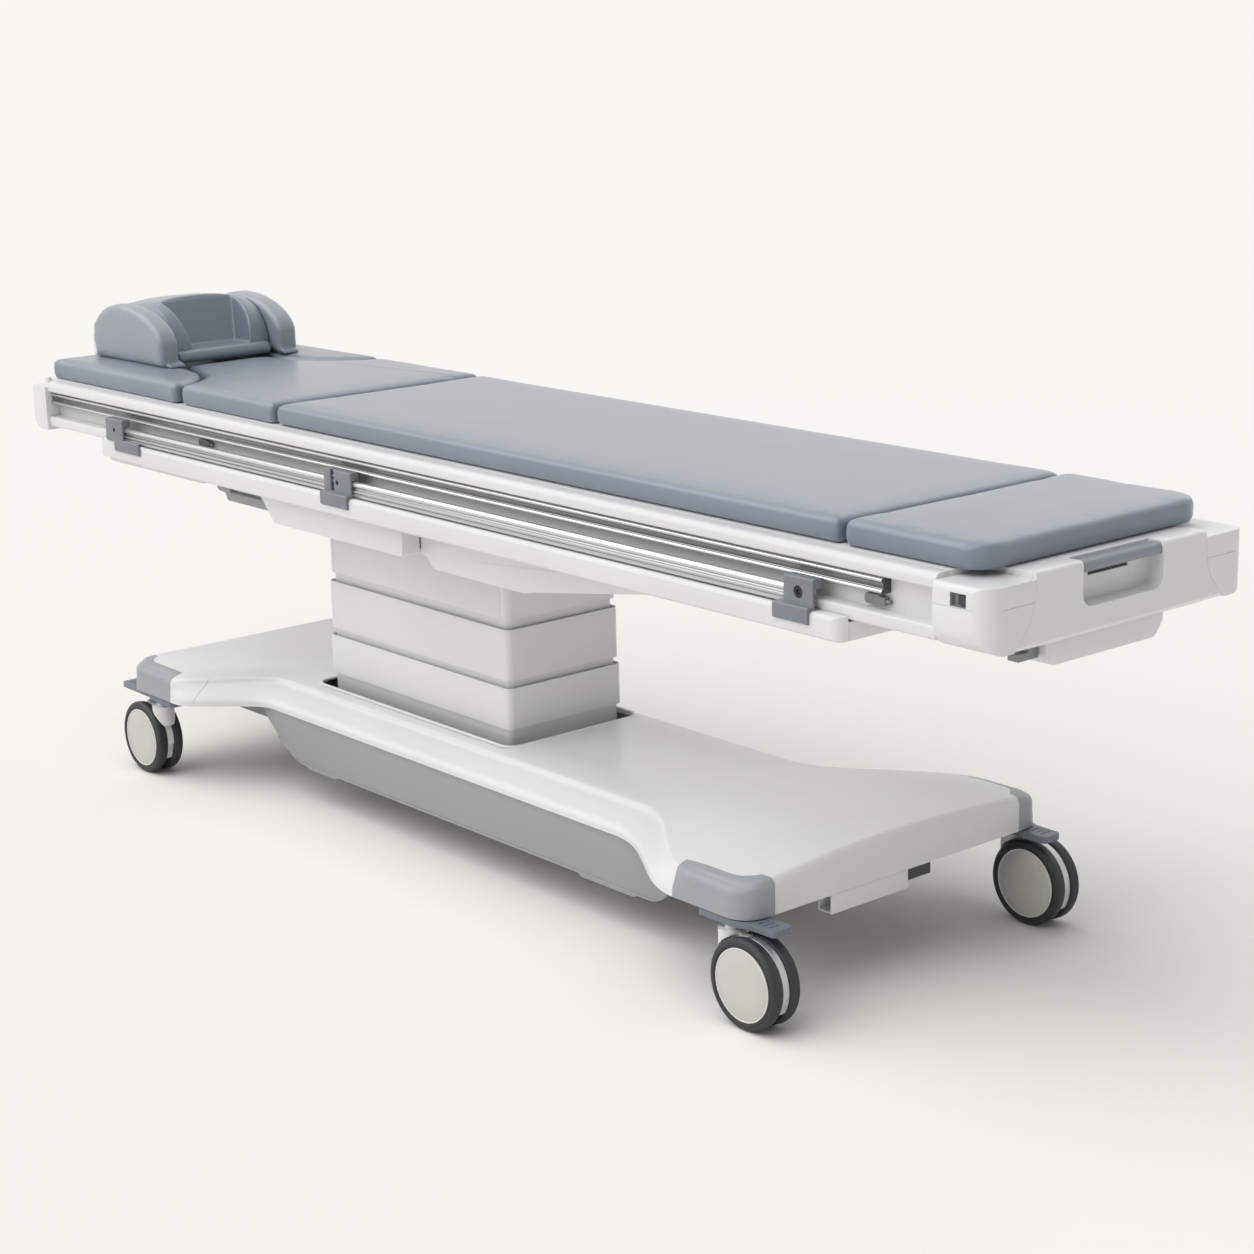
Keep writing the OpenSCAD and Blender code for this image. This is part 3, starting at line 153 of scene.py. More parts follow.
world = bpy.data.worlds.new("studio")
scene.world = world
world.use_nodes = True
world.node_tree.nodes.clear()
sky = Wire(world.node_tree)
ray = sky.node("LightPath", out="Is Camera Ray")
glossy = sky.node("LightPath", out="Is Glossy Ray")
clear_ray = sky.node("LightPath", out="Is Transmission Ray")
seen = sky.math("MAXIMUM", sky.math("MAXIMUM", ray, glossy), clear_ray)
ambient = sky.node("Background", Color=(0.97, 0.985, 1.0, 1), Strength=0.315)
paper = (0.947, 0.930, 0.896)
pale = sky.node("Background", Color=(*paper, 1), Strength=1.0)
world_out = world.node_tree.nodes.new("ShaderNodeOutputWorld")
both = sky.node("MixShader", at0=seen, at1=ambient, at2=pale)
world.node_tree.links.new(both.socket, world_out.inputs[0])

for name, towards, strength, spread in (
    ("key_light", (-0.34, -0.62, 1.0), 2.32, 84),
    ("far_light", (-0.2, 0.9, 0.7), 0.3, 50),
):
    sun_data = bpy.data.lights.new(name, "SUN")
    sun_data.energy = strength
    sun_data.angle = math.radians(spread)
    sun = bpy.data.objects.new(name, sun_data)
    sun.rotation_euler = Vector(towards).to_track_quat("Z", "Y").to_euler()
    scene.collection.objects.link(sun)

floor_mesh = bpy.data.meshes.new("floor")
floor_mesh.from_pydata(
    [(-400, -400, 0), (400, -400, 0), (400, 400, 0), (-400, 400, 0)], [], [(0, 1, 2, 3)]
)
floor = bpy.data.objects.new("floor", floor_mesh)
scene.collection.objects.link(floor)
floor_paint, shade = blank_material("floor_paint")
lit = shade.node("BsdfDiffuse", Color=(0.96, 0.932, 0.898, 1))
glow = shade.node("Emission", Color=(*paper, 1), Strength=1.0)
spot = shade.node("TexCoord", out="Object")
away = shade.node("VectorMath", {"operation": "LENGTH"}, out="Value", at0=spot)
fade = shade.node("MapRange", Value=away, From_Min=2.2, From_Max=6.0)
floor_ray = shade.node("LightPath", out="Is Camera Ray")
floor_gloss = shade.node("LightPath", out="Is Glossy Ray")
seen_floor = shade.math("MAXIMUM", floor_ray, floor_gloss)
floor_mix = shade.node("MixShader", at0=seen_floor * fade, at1=lit, at2=glow)
floor_mesh.materials.append(surfaced(floor_paint, floor_mix))


# The white mouldings of the base are vacuum-formed covers with a fine satin grain.
# Every finish here is worked out from Object coordinates, so no pattern slides.
def finish(name, colour, rough, grain=0.0, scale=900.0, tint=0.02, coat=0.0, metal=0.0):
    """A plain finish: slow colour variation, fine grain, and roughness that varies with it."""
    made, wire = blank_material(name)
    place = wire.node("TexCoord", out="Object")
    broad = wire.node("TexNoise", Vector=place, Scale=3.0, Detail=3.0)
    fine = wire.node("TexNoise", Vector=place, Scale=scale, Detail=2.0)
    dark = tuple(c * (1 - 2 * tint) for c in colour)
    light = tuple(min(1, c * (1 + tint)) for c in colour)
    spread = {"stops": [(0.3, dark), (0.7, light)]}
    paint = wire.node("ValToRGB", spread, Fac=broad)
    uneven = rough + (broad - 0.5) * 0.12 + (fine - 0.5) * 0.1
    bump = wire.node("Bump", Strength=grain, Distance=0.0004, Height=fine)
    surface = wire.node(
        "BsdfPrincipled",
        Base_Color=paint,
        Roughness=uneven,
        Metallic=metal,
        Normal=bump,
        Coat_Weight=coat,
        Coat_Roughness=0.15,
    )
    return surfaced(made, surface)


white = finish("white_moulding", (0.785, 0.785, 0.78), 0.34, grain=0.15, coat=0.15)
painted = finish("white_paint", (0.775, 0.775, 0.77), 0.38, grain=0.2, scale=500.0)


def loft(name, grid, around=False, along=False, ends=False):
    """A grid of points to a mesh. Rows follow the first parameter and columns the second."""
    rows, columns = grid.shape[:2]
    index = np.arange(rows * columns).reshape(rows, columns)
    if around:
        index = np.concatenate([index, index[:, :1]], 1)
    if along:
        index = np.concatenate([index, index[:1]], 0)
    corners = [index[:-1, :-1], index[1:, :-1], index[1:, 1:], index[:-1, 1:]]
    quads = np.stack(corners, -1).reshape(-1, 4).tolist()
    if ends:
        quads.append(list(range(columns)))
        quads.append(list(range(rows * columns - 1, (rows - 1) * columns - 1, -1)))
    mesh = bpy.data.meshes.new(name)
    mesh.from_pydata(grid.reshape(-1, 3).tolist(), [], quads)
    mesh.validate()
    piece = bpy.data.objects.new(name, mesh)
    scene.collection.objects.link(piece)
    return piece


def outward(piece, merge=1e-6):
    """Merges doubles and turns the faces of a closed piece outwards."""
    work = bmesh.new()
    work.from_mesh(piece.data)
    bmesh.ops.remove_doubles(work, verts=work.verts, dist=merge)
    bmesh.ops.recalc_face_normals(work, faces=work.faces)
    work.to_mesh(piece.data)
    work.free()
    return piece


def soften(piece, angle=35):
    """Smooth shading, with edges sharper than the angle kept."""
    mesh = piece.data
    mesh.shade_smooth()
    mesh.set_sharp_from_angle(angle=math.radians(angle))
    return piece


def baked(piece):
    """Applies the piece's modifiers to its mesh."""
    graph = bpy.context.evaluated_depsgraph_get()
    old = piece.data
    piece.data = bpy.data.meshes.new_from_object(piece.evaluated_get(graph))
    piece.modifiers.clear()
    bpy.data.meshes.remove(old)
    return piece


def copy_of(piece, name):
    """A copy with its own mesh."""
    twin = bpy.data.objects.new(name, piece.data.copy())
    scene.collection.objects.link(twin)
    return twin


def bevelled(node, width, segments=3, angle=30):
    """A merged copy of a CAD node with rounded edges, which stands for the node."""
    source = frame["nodes"][node]
    copy = copy_of(source, node + "_finish")
    copy.data.materials.clear()
    work = bmesh.new()
    work.from_mesh(copy.data)
    bmesh.ops.remove_doubles(work, verts=work.verts, dist=1e-5)
    flat = math.radians(1)
    bmesh.ops.dissolve_limit(
        work, angle_limit=flat, verts=work.verts, edges=work.edges, delimit=set()
    )
    work.to_mesh(copy.data)
    work.free()
    edge = copy.modifiers.new("bevel", "BEVEL")
    edge.width = width
    edge.segments = segments
    edge.limit_method = "ANGLE"
    edge.angle_limit = math.radians(angle)
    edge.miter_outer = "MITER_ARC"
    baked(copy)
    soften(copy, 32)
    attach(copy, source["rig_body"])
    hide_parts(node)
    return copy


def dress(piece, material):
    """Gives a piece its material."""
    piece.data.materials.clear()
    piece.data.materials.append(material)
    return piece


# The base cover is a dog-bone moulding: a narrow waist that swells to both ends, with a soft
# shoulder line along each side and a flat top. It is worked out as sections along X, hollowed,
# and cut into the cover, its head-end piece and the four corner bumpers.
base_x0, base_x1 = -0.940, 0.960
base_half, waist_half = 0.347, 0.222
cover_z, cover_top = 0.172, 0.230
corner_r = 0.045
seam_x = -0.440
cover_wall, seam_gap = 0.004, 0.0004


def smooth(t):
    """Smooth step from 0 to 1."""
    t = np.clip(t, 0, 1)
    return t * t * (3 - 2 * t)


def swell(x, foot, head):
    """0 at the waist and 1 at both ends. Each pair is the distances where it starts and is full."""
    at_foot = smooth((x - base_x1 + foot[0]) / (foot[0] - foot[1]))
    at_head = smooth((base_x0 + head[0] - x) / (head[0] - head[1]))
    return np.maximum(at_foot, at_head)


def rounded_in(x, r):
    """How far a corner of radius r draws in at x, near either end."""
    d = np.clip(r - np.minimum(x - base_x0, base_x1 - x), 0, r)
    return r - np.sqrt(r * r - d * d)


def cover_points(x, wall):
    """Control points of the half section at each x, from the lower edge to the middle, drawn in by
    the wall: (n, 9, 2)."""
    corner = rounded_in(x, corner_r) + wall
    outer = waist_half + 0.125 * swell(x, (0.460, 0.165), (0.360, 0.190)) - corner
    ridge = 0.175 + 0.164 * swell(x, (0.440, 0.130), (0.350, 0.165)) - corner
    shelf = 0.130 + 0.187 * swell(x, (0.425, 0.105), (0.340, 0.135)) - corner
    shelf = np.minimum(shelf, ridge - 0.014)
    end = rounded_in(x, 0.010) + wall
    low = cover_z - wall
    shoulder = cover_top - 0.007 - end
    flat = cover_top - end
    crown = cover_top + 0.017 * smooth((x - base_x1 + 0.655) / 0.6) - end
    zero = np.zeros_like(x)
    pairs = [
        (outer, low + zero),
        (outer - 0.0005, cover_z + 0.012 + zero),
        ((outer + ridge) / 2 + 0.002, cover_z + 0.55 * (shoulder - cover_z)),
        (ridge + 0.005, shoulder - 0.009),
        (ridge + 0.001, shoulder - 0.0025),
        (ridge - 0.005, shoulder + 0.0005),
        (shelf, flat),
        (shelf * 0.55, flat + 0.7 * (crown - flat)),
        (zero, crown),
    ]
    return np.stack([np.stack(p, -1) for p in pairs], 1)


def cover_section(x, wall, per=7):
    """A smooth curve through the control points of each section, as a whole section: (n, m, 3)."""
    points = cover_points(x, wall)
    mirrored = points[:, -2::-1] * np.array([-1.0, 1.0])
    whole = np.concatenate([points, mirrored], 1)
    step = np.linalg.norm(np.diff(whole, axis=1), axis=2).mean(0)
    knots = np.concatenate([[0], np.cumsum(np.sqrt(step))])
    tangent = np.zeros_like(whole)
    ahead = (whole[:, 2:] - whole[:, 1:-1]) / np.diff(knots)[1:, None]
    behind = (whole[:, 1:-1] - whole[:, :-2]) / np.diff(knots)[:-1, None]
    share = (np.diff(knots)[:-1] / (knots[2:] - knots[:-2]))[:, None]
    tangent[:, 1:-1] = behind * (1 - share) + ahead * share
    tangent[:, 0] = (whole[:, 1] - whole[:, 0]) / (knots[1] - knots[0])
    tangent[:, -1] = (whole[:, -1] - whole[:, -2]) / (knots[-1] - knots[-2])
    t = np.linspace(0, 1, per, endpoint=False)[:, None]
    h = [2 * t**3 - 3 * t**2 + 1, t**3 - 2 * t**2 + t, 3 * t**2 - 2 * t**3, t**3 - t**2]
    parts = []
    for i in range(whole.shape[1] - 1):
        gap = knots[i + 1] - knots[i]
        piece = h[0] * whole[:, i : i + 1] + h[1] * gap * tangent[:, i : i + 1]
        piece = piece + h[2] * whole[:, i + 1 : i + 2] + h[3] * gap * tangent[:, i + 1 : i + 2]
        parts.append(piece)
    parts.append(whole[:, -1:])
    yz = np.concatenate(parts, 1)
    xs = np.repeat(x[:, None], yz.shape[1], 1)
    return np.stack([xs, yz[..., 0], yz[..., 1]], -1)


ends = corner_r * (1 - np.cos(np.linspace(0, math.pi / 2, 24)))
inside = np.linspace(base_x0 + corner_r, base_x1 - corner_r, 240)[1:-1]
stations = np.concatenate([base_x0 + ends, inside, (base_x1 - ends)[::-1]])


def inset(ring):
    """The end ring drawn a little towards its middle, so that the flat end shades flat."""
    middle = ring.mean(0)
    return middle + (ring - middle) * 0.96


def base_form(name, wall):
    """The whole base as a closed form, drawn in by the wall."""
    scaled = base_x0 + wall + (stations - base_x0) * (1 - 2 * wall / (base_x1 - base_x0))
    sections = cover_section(scaled, wall)
    grid = np.concatenate([inset(sections[0])[None], sections, inset(sections[-1])[None]])
    return outward(loft(name, grid, around=True, ends=True))


def plate(name, outline, z0, z1):
    """A closed prism: an outline in X and Y carried from z0 to z1."""
    points = np.asarray(outline, float)
    levels = np.array([z0, z1])
    grid = np.zeros((2, len(points), 3))
    grid[..., :2] = points
    grid[..., 2] = levels[:, None]
    piece = loft(name, grid, around=True, ends=True)
    return outward(piece)


def arc(centre, r, start, stop, count):
    """Points on a circle, from one angle to another, in degrees."""
    a = np.radians(np.linspace(start, stop, count))
    return np.stack([centre[0] + r * np.cos(a), centre[1] + r * np.sin(a)], -1)


def round_box(x0, x1, y0, y1, r, count=8):
    """Outline of a rectangle with rounded corners, anticlockwise."""
    corners = [(x0 + r, y0 + r, 180), (x1 - r, y0 + r, 270), (x1 - r, y1 - r, 0)]
    corners.append((x0 + r, y1 - r, 90))
    return np.concatenate([arc((x, y), r, a, a + 90, count) for x, y, a in corners])


def cut(piece, cutter, operation="DIFFERENCE"):
    """Cuts a piece with a closed cutter, or keeps only what they share."""
    step = piece.modifiers.new("cut", "BOOLEAN")
    step.object = cutter
    step.operation = operation
    step.solver = "EXACT"
    baked(piece)
    bpy.data.objects.remove(cutter)
    return piece


def bumper_outline(end, side, grow):
    """Plan of a corner bumper, running past the cover's corner."""
    x0 = base_x1 - 0.170 - grow
    x1 = base_x1 - 0.023 - grow
    y0 = base_half - 0.032 - grow
    r = 0.042
    bend = arc((x1 - r, y0 - r), r, 90, 20, 12)
    out = [(base_x1 + 0.005, y0 - r + 0.010), (base_x1 + 0.005, base_half + 0.005)]
    plan = np.concatenate([[(x0, y0)], bend, out, [(x0, base_half + 0.005)]])
    if end == "head":
        plan[:, 0] = base_x0 + base_x1 - plan[:, 0]
    plan[:, 1] *= side
    return plan


shell = base_form("base_shell", 0.0)
cut(shell, base_form("base_inside", cover_wall))
well_x0, well_x1, well_half, well_r = -0.514, 0.124, 0.155, 0.026
well = round_box(well_x0, well_x1, -well_half, well_half, well_r)
cut(shell, plate("well_cutter", well, 0.10, 0.30))
bumper = finish("bumper_rubber", (0.345, 0.362, 0.385), 0.42, grain=0.3, scale=1200.0)
for end in ("head", "foot"):
    corner_pieces = []
    for side in (-1, 1):
        corner = copy_of(shell, "corner_%s_%d" % (end, side))
        cut(corner, plate("corner_cutter", bumper_outline(end, side, 0), 0.1, 0.3), "INTERSECT")
        cut(shell, plate("corner_cutter", bumper_outline(end, side, 0.0006), 0.1, 0.3))
        corner_pieces.append(corner)
    with bpy.context.temp_override(
        active_object=corner_pieces[0], selected_editable_objects=corner_pieces
    ):
        bpy.ops.object.join()
    guard = corner_pieces[0]
    guard.name = "corner_bumpers_" + end
    dress(soften(guard, 40), bumper)
    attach(guard, "base")
    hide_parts("bumpers_" + end)
for name, lost_from, lost_to in (
    ("base_cover", -2.0, seam_x - seam_gap),
    ("base_head_cover", seam_x + seam_gap, 2.0),
):
    half_cover = copy_of(shell, name + "_moulding")
    lost = round_box(lost_from, lost_to, -1, 1, 0.01)
    cut(half_cover, plate("half_cutter", lost, 0.0, 0.5))
    if name == "base_head_cover":
        for side in (-1, 1):
            slit = round_box(-0.7085, -0.7077, 0.27, 0.40, 0.0002) * np.array([1, side])
            cut(half_cover, plate("slit_cutter", slit, 0.16, 0.2222))
    dress(soften(half_cover, 40), white)
    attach(half_cover, "base")
    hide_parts(name)
bpy.data.objects.remove(shell)


# A rounded lip runs round the column's well, moulded with the cover. It is a small half-round
# section carried along the well's rounded outline, at the height of the cover there.
rim_off, rim_w, rim_h, rim_z = 0.0015, 0.0035, 0.0028, 0.2290
rim_half = well_half + rim_off
rim_path = round_box(
    well_x0 - rim_off, well_x1 + rim_off, -rim_half, rim_half, well_r + rim_off, 10
)
ahead = np.roll(rim_path, -1, 0) - np.roll(rim_path, 1, 0)
ahead = ahead / np.linalg.norm(ahead, axis=1)[:, None]
outside = np.stack([ahead[:, 1], -ahead[:, 0]], -1)
turns = np.linspace(0, 2 * math.pi, 16, endpoint=False)
rim = np.zeros((len(rim_path), 16, 3))
rim[..., :2] = rim_path[:, None] + outside[:, None] * rim_w * np.cos(turns)[None, :, None]
rim[..., 2] = rim_z + rim_h * np.sin(turns)[None]
lip = outward(loft("well_lip", rim, around=True, along=True))
dress(soften(lip, 60), white)
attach(lip, "base")


# The skirts below the cover are grey moulded panels with a fine horizontal groove and a skid
# strip near each end. They screw to brackets on the chassis.
skirt_paint = finish("skirt_plastic", (0.34, 0.345, 0.35), 0.55, grain=0.35, scale=1500.0)
for name in ("skirt_left", "skirt_right"):
    dress(bevelled(name, 0.0012), skirt_paint)
dress(bevelled("foot_underpan", 0.0015), white)


# The chassis and the box on it are seen only from below and past the casters: grey paint on
# welded steel, and a dark plastic case.
steel_paint = finish("chassis_paint", (0.30, 0.31, 0.32), 0.5, grain=0.25, scale=400.0)
dark_plastic = finish("dark_plastic", (0.045, 0.048, 0.052), 0.5, grain=0.3)
dress(bevelled("chassis", 0.0015, 2), steel_paint)
dress(bevelled("power_unit", 0.0015, 2), dark_plastic)


# Brake pedals: a plate over each caster with shallow grip ribs, on a round cross bar that
# turns in the chassis. Dark grey-blue paint; the wear at its tip is not painted.
pedal_paint = finish("pedal_paint", (0.16, 0.185, 0.22), 0.42, grain=0.3, scale=700.0)
for name in ("brake_bar_head", "brake_bar_foot"):
    dress(bevelled(name, 0.0018), pedal_paint)


# Casters: a light moulded fork with a round neck, a silver cover between the two wheels, and
# dark polyurethane tyres on wheels with pale disc covers in a thin ring. Tyres and discs are
# turned; the neck is cut round to clear the wheels.
fork_paint = finish("caster_moulding", (0.74, 0.74, 0.73), 0.35, grain=0.15, coat=0.2)
silver = finish("caster_silver", (0.55, 0.56, 0.58), 0.30, grain=0.15, metal=0.6)
tyre_rubber = finish("tyre_rubber", (0.024, 0.027, 0.031), 0.55, grain=0.4, scale=800.0)
tyre_edge = finish("tyre_edge", (0.012, 0.013, 0.015), 0.5, grain=0.3)
disc_cover = finish("disc_cover", (0.60, 0.585, 0.555), 0.42, grain=0.12, scale=1400.0, tint=0.01)
disc_ring = finish("disc_ring", (0.84, 0.83, 0.80), 0.3, grain=0.05)
wheel_r, wheel_gap, trail = 0.075, 0.015, 0.050
neck_r, neck_low, neck_top = 0.0226, 0.110, 0.1496


def turned(profile, count=72):
    """A profile of (radius, height) pairs turned about the Y axis: (count, m, 3)."""
    a = np.linspace(0, 2 * math.pi, count, endpoint=False)[:, None]
    r, h = np.asarray(profile, float).T
    return np.stack([r * np.cos(a), h + 0 * a, r * np.sin(a)], -1)


def lathed(name, profile, centre, flip=1, count=72):
    """A closed turned piece about an axis along Y through a centre."""
    grid = turned(profile, count)
    grid[..., 1] *= flip
    return outward(loft(name, grid + np.array(centre), around=True, along=True), 1e-6)


tyre_profile = np.concatenate(
    [
        [(0.046, 0.0010), (0.0595, 0.0010), (0.061, 0.0)],
        arc((0.0685, 0.0055), 0.0055, -90, 0, 7),
        arc((0.0670, 0.0140), 0.0080, 0, 80, 9),
        [(0.0655, 0.0220), (0.0635, 0.0222), (0.0622, 0.0212), (0.0610, 0.0200)],
        [(0.046, 0.0200)],
    ]
)
disc_profile = np.concatenate(
    [
        [(0.0, -0.002), (0.0073, -0.002), (0.0075, 0.0005), (0.0600, 0.0015), (0.0600, 0.0195)],
        arc((0.0588, 0.0200), 0.0012, 0, 80, 4),
        [(0.0575, 0.0212), (0.0572, 0.0207), (0.0560, 0.0214), (0.030, 0.0228), (0.0, 0.0232)],
    ]
)
ring_profile = arc((0.0588, 0.0203), 0.0013, 0, 330, 12)
wheel_room = [(0.0, -0.04), (0.0776, -0.04), (0.0776, 0.04), (0.0, 0.04)]
for end, stem_x, way in (("head", -0.834, -1), ("foot", 0.910, 1)):
    for side, y in (("left", 0.328), ("right", -0.328)):
        key = "%s_%s" % (end, side)
        centre_x = stem_x + way * trail
        pieces = []
        for flip in (-1, 1):
            centre = (centre_x, y + flip * wheel_gap / 2, wheel_r)
            ring = lathed("tyre_%s_%d" % (key, flip), tyre_profile, centre, flip)
            dress(soften(ring, 50), tyre_rubber)
            shoulder = lathed(
                "tyre_band_%s_%d" % (key, flip),
                [(0.0690, 0.0208), (0.0648, 0.0225), (0.0632, 0.0226), (0.0640, 0.0180)],
                centre,
                flip,
            )
            dress(soften(shoulder, 50), tyre_edge)
            disc = lathed("disc_%s_%d" % (key, flip), disc_profile, centre, flip)
            dress(soften(disc, 40), disc_cover)
            edge = lathed("disc_edge_%s_%d" % (key, flip), ring_profile, centre, flip)
            dress(soften(edge, 60), disc_ring)
            pieces += [ring, shoulder, disc, edge]
        for piece in pieces:
            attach(piece, "wheels_" + key)
        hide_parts("caster_wheels_" + key)
        dress(bevelled("caster_fork_" + key, 0.0012), fork_paint)
        dress(bevelled("caster_hood_" + key, 0.0010), silver)
        round_neck = arc((stem_x, y), neck_r, 0, 352.5, 48)
        neck = plate("caster_neck_" + key, round_neck, neck_low, neck_top)
        cut(neck, lathed("neck_cutter", wheel_room, (centre_x, y, wheel_r)))
        dress(soften(neck, 40), fork_paint)
        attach(neck, frame["nodes"]["caster_fork_" + key]["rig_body"])


# The column's three sleeves are bent sheet, painted white, each a little smaller than the one
# below, so that a lower sleeve swallows it. Three machined steel tubes and a motor lift them.
for name in ("lower_sleeve", "middle_sleeve", "upper_sleeve"):
    dress(bevelled(name, 0.0010, 2), painted)
machined = finish("machined_steel", (0.45, 0.46, 0.47), 0.3, grain=0.1, metal=1.0)
for name in ("lift_tube_inner", "lift_tube_middle", "lift_tube_outer"):
    dress(bevelled(name, 0.0008, 2), machined)
dress(bevelled("lift_motor", 0.0015, 2), dark_plastic)


# Under the slide beam hang two moulded covers, bolted to the steel carriage on the column.
dress(bevelled("carriage", 0.001, 2), steel_paint)
for name in ("carriage_cover_head", "carriage_cover_foot"):
    dress(bevelled(name, 0.0025, 3, 25), white)
dress(bevelled("cable_tray", 0.0015), skirt_paint)


# The slide beam is a long folded white trough. Two drawn aluminium rails stand on its floor,
# and the tabletop's bearings run on them between the beam's rims.
dress(bevelled("slide_beam", 0.0015, 3, 25), painted)


def brushed(name, tone_and_painted_light_bands, rough=0.3, ends=(-9.0, 9.0)):
    """Drawn aluminium. The bands give its tone at each height: painted highlights on the ridges and
    painted shade in the grooves. Noise stretched along X is the drawing grain. Past the ends it is
    dark."""
    made, wire = blank_material(name)
    place = wire.node("TexCoord", out="Object")
    grain_place = wire.node("Mapping", Vector=place, Scale=(0.8, 900.0, 900.0))
    lines = wire.node("TexNoise", Vector=grain_place, Scale=1.0, Detail=3.0)
    broad = wire.node("TexNoise", Vector=place, Scale=5.0, Detail=2.0)
    height = wire.node("SeparateXYZ", out="Z", Vector=place)
    along = wire.node("SeparateXYZ", out="X", Vector=place)
    low, high = tone_and_painted_light_bands[0][0], tone_and_painted_light_bands[-1][0]
    stops = [((z - low) / (high - low), (tone, tone * 1.005, tone * 1.01)) for z, tone in tone_and_painted_light_bands]
    uneven = height + (lines - 0.5) * 0.0002
    share = wire.node("MapRange", Value=uneven, From_Min=low, From_Max=high)
    tone = wire.node("ValToRGB", {"stops": stops}, Fac=share)
    past = wire.math("GREATER_THAN", along, ends[1]) + wire.math("LESS_THAN", along, ends[0])
    mixed = wire.node(
        "Mix", {"data_type": "RGBA"}, out=2, at0=past, at6=tone, at7=(0.05, 0.05, 0.055, 1)
    )
    surface = wire.node(
        "BsdfPrincipled",
        Base_Color=mixed,
        Metallic=0.75 - past * 0.7,
        Roughness=rough + (lines - 0.5) * 0.15 + (broad - 0.5) * 0.08,
        Normal=wire.node("Bump", Strength=0.12, Distance=0.0002, Height=lines),
    )
    return surfaced(made, surface)


plain_bands = [(0.0, 0.42), (1.0, 0.42)]
rail_metal = brushed("rail_aluminium", plain_bands, 0.28)
dress(bevelled("slide_rails", 0.0008, 2), rail_metal)
dress(bevelled("slide_bearings", 0.001, 2), dark_plastic)


# Three dark brackets a side hook over the beam's rim, hold the polished lower rail and guide the
# tabletop's ledge. They are thick bent plate, each with a hollow-headed bolt.
bracket_paint = finish("bracket_paint", (0.205, 0.222, 0.245), 0.4, grain=0.3, scale=600.0)
for name in ("brackets_left", "brackets_right"):
    dress(bevelled(name, 0.0012), bracket_paint)
bolt_steel = finish("bolt_steel", (0.03, 0.032, 0.035), 0.4, grain=0.1, metal=0.3)
bolt_y, bolt_z = 0.2981, 0.703
for x, r in ((-1.004, 0.0042), (-0.177, 0.0042), (1.035, 0.0090)):
    head_of_bolt = [(0.0, 0.0), (r, 0.0), (r, 0.0025), (r - 0.0008, 0.0033), (r * 0.55, 0.0033)]
    head_of_bolt += [(r * 0.55, 0.0012), (0.0, 0.0012)]
    for side in (-1, 1):
        centre = (x, side * bolt_y, bolt_z)
        bolt = lathed("bracket_bolt_%d_%d" % (x * 1000, side), head_of_bolt, centre, side, 40)
        dress(soften(bolt, 40), bolt_steel)
        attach(bolt, frame["nodes"]["brackets_left"]["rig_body"])
# Tones by height on the lower rail: painted highlights on the rounded ridges, painted shade in the
# grooves.
lower_rail_painted_light_bands = [
    (0.681, 0.30), (0.6835, 0.62), (0.6870, 0.55), (0.6885, 0.10), (0.6900, 0.50), (0.6935, 0.62),
    (0.6950, 0.12), (0.6975, 0.50), (0.7030, 0.66), (0.7070, 0.85), (0.710, 0.60),
]
lower_metal = brushed("lower_rail_painted_light", lower_rail_painted_light_bands, 0.26)
dress(bevelled("lower_rails", 0.0006, 2), lower_metal)


# The tabletop is a board between two extruded side profiles, painted white. A ribbed aluminium
# rail sits in each profile's recess, with painted highlights on its ridges and painted shade in its
# groove.
dress(bevelled("tabletop_board", 0.001, 2), painted)
for name in ("side_profile_left", "side_profile_right"):
    dress(bevelled(name, 0.0010, 3), painted)
# Tones by height on the upper rail: painted highlights on the ridges' upper halves, painted shade in
# the groove.
upper_rail_painted_light_bands = [
    (0.720, 0.30), (0.7225, 0.52), (0.7250, 0.80), (0.7275, 0.45), (0.7285, 0.07), (0.7310, 0.16),
    (0.7350, 0.24), (0.7364, 0.10), (0.7380, 0.42), (0.7405, 0.60), (0.7425, 0.88), (0.744, 0.60),
]
upper_metal = brushed("upper_rail_painted_light", upper_rail_painted_light_bands, 0.26, ends=(-1.3172, 1.1832))
dress(bevelled("upper_rails", 0.0006, 2), upper_metal)
stop_metal = finish("stop_metal", (0.24, 0.25, 0.26), 0.38, grain=0.2, scale=700.0, metal=0.5)
dress(bevelled("stop_blocks", 0.0012), stop_metal)


# The end caps, the foot panel and the dock box are white mouldings with generous corners. The
# handle turns in the panel's pocket, over a near-black plate painting the shade in its slot, and each
# foot cap has a window for a release button, with a square face and a grey liner painting its shade.
for name, width in (
    ("head_end_cap", 0.003),
    ("foot_cap_left", 0.003),
    ("foot_cap_right", 0.003),
    ("foot_panel", 0.0025),
    ("dock_box", 0.003),
):
    dress(bevelled(name, width, 4), white)
handle_paint = finish("handle_paint", (0.25, 0.275, 0.31), 0.42, grain=0.3, scale=700.0)
dress(bevelled("release_handle", 0.002), handle_paint)
for name in ("release_button_left", "release_button_right"):
    dress(bevelled(name, 0.001), dark_plastic)
# A grey liner inside each button window is painted shade: it darkens the recess round the button.
painted_window_shade = finish("painted_window_shade", (0.30, 0.305, 0.31), 0.5, grain=0.2)
button_room = [(0.0, -0.02), (0.0078, -0.02), (0.0078, 0.02), (0.0, 0.02)]
button_x, button_z, button_half = 1.345, 0.741, 0.0071
window = np.array([1.3262, 1.3558, 0.7312, 0.7508])
liner_wall = np.array([0.0004, -0.0004, 0.0004, -0.0004])


def across_plate(name, outline, y0, y1):
    """A closed prism: an outline in X and Z carried from y0 to y1."""
    grid = np.zeros((2, len(outline), 3))
    grid[..., 0] = outline[:, 0]
    grid[..., 1] = np.array([y0, y1])[:, None]
    grid[..., 2] = outline[:, 1]
    return outward(loft(name, grid, around=True, ends=True))


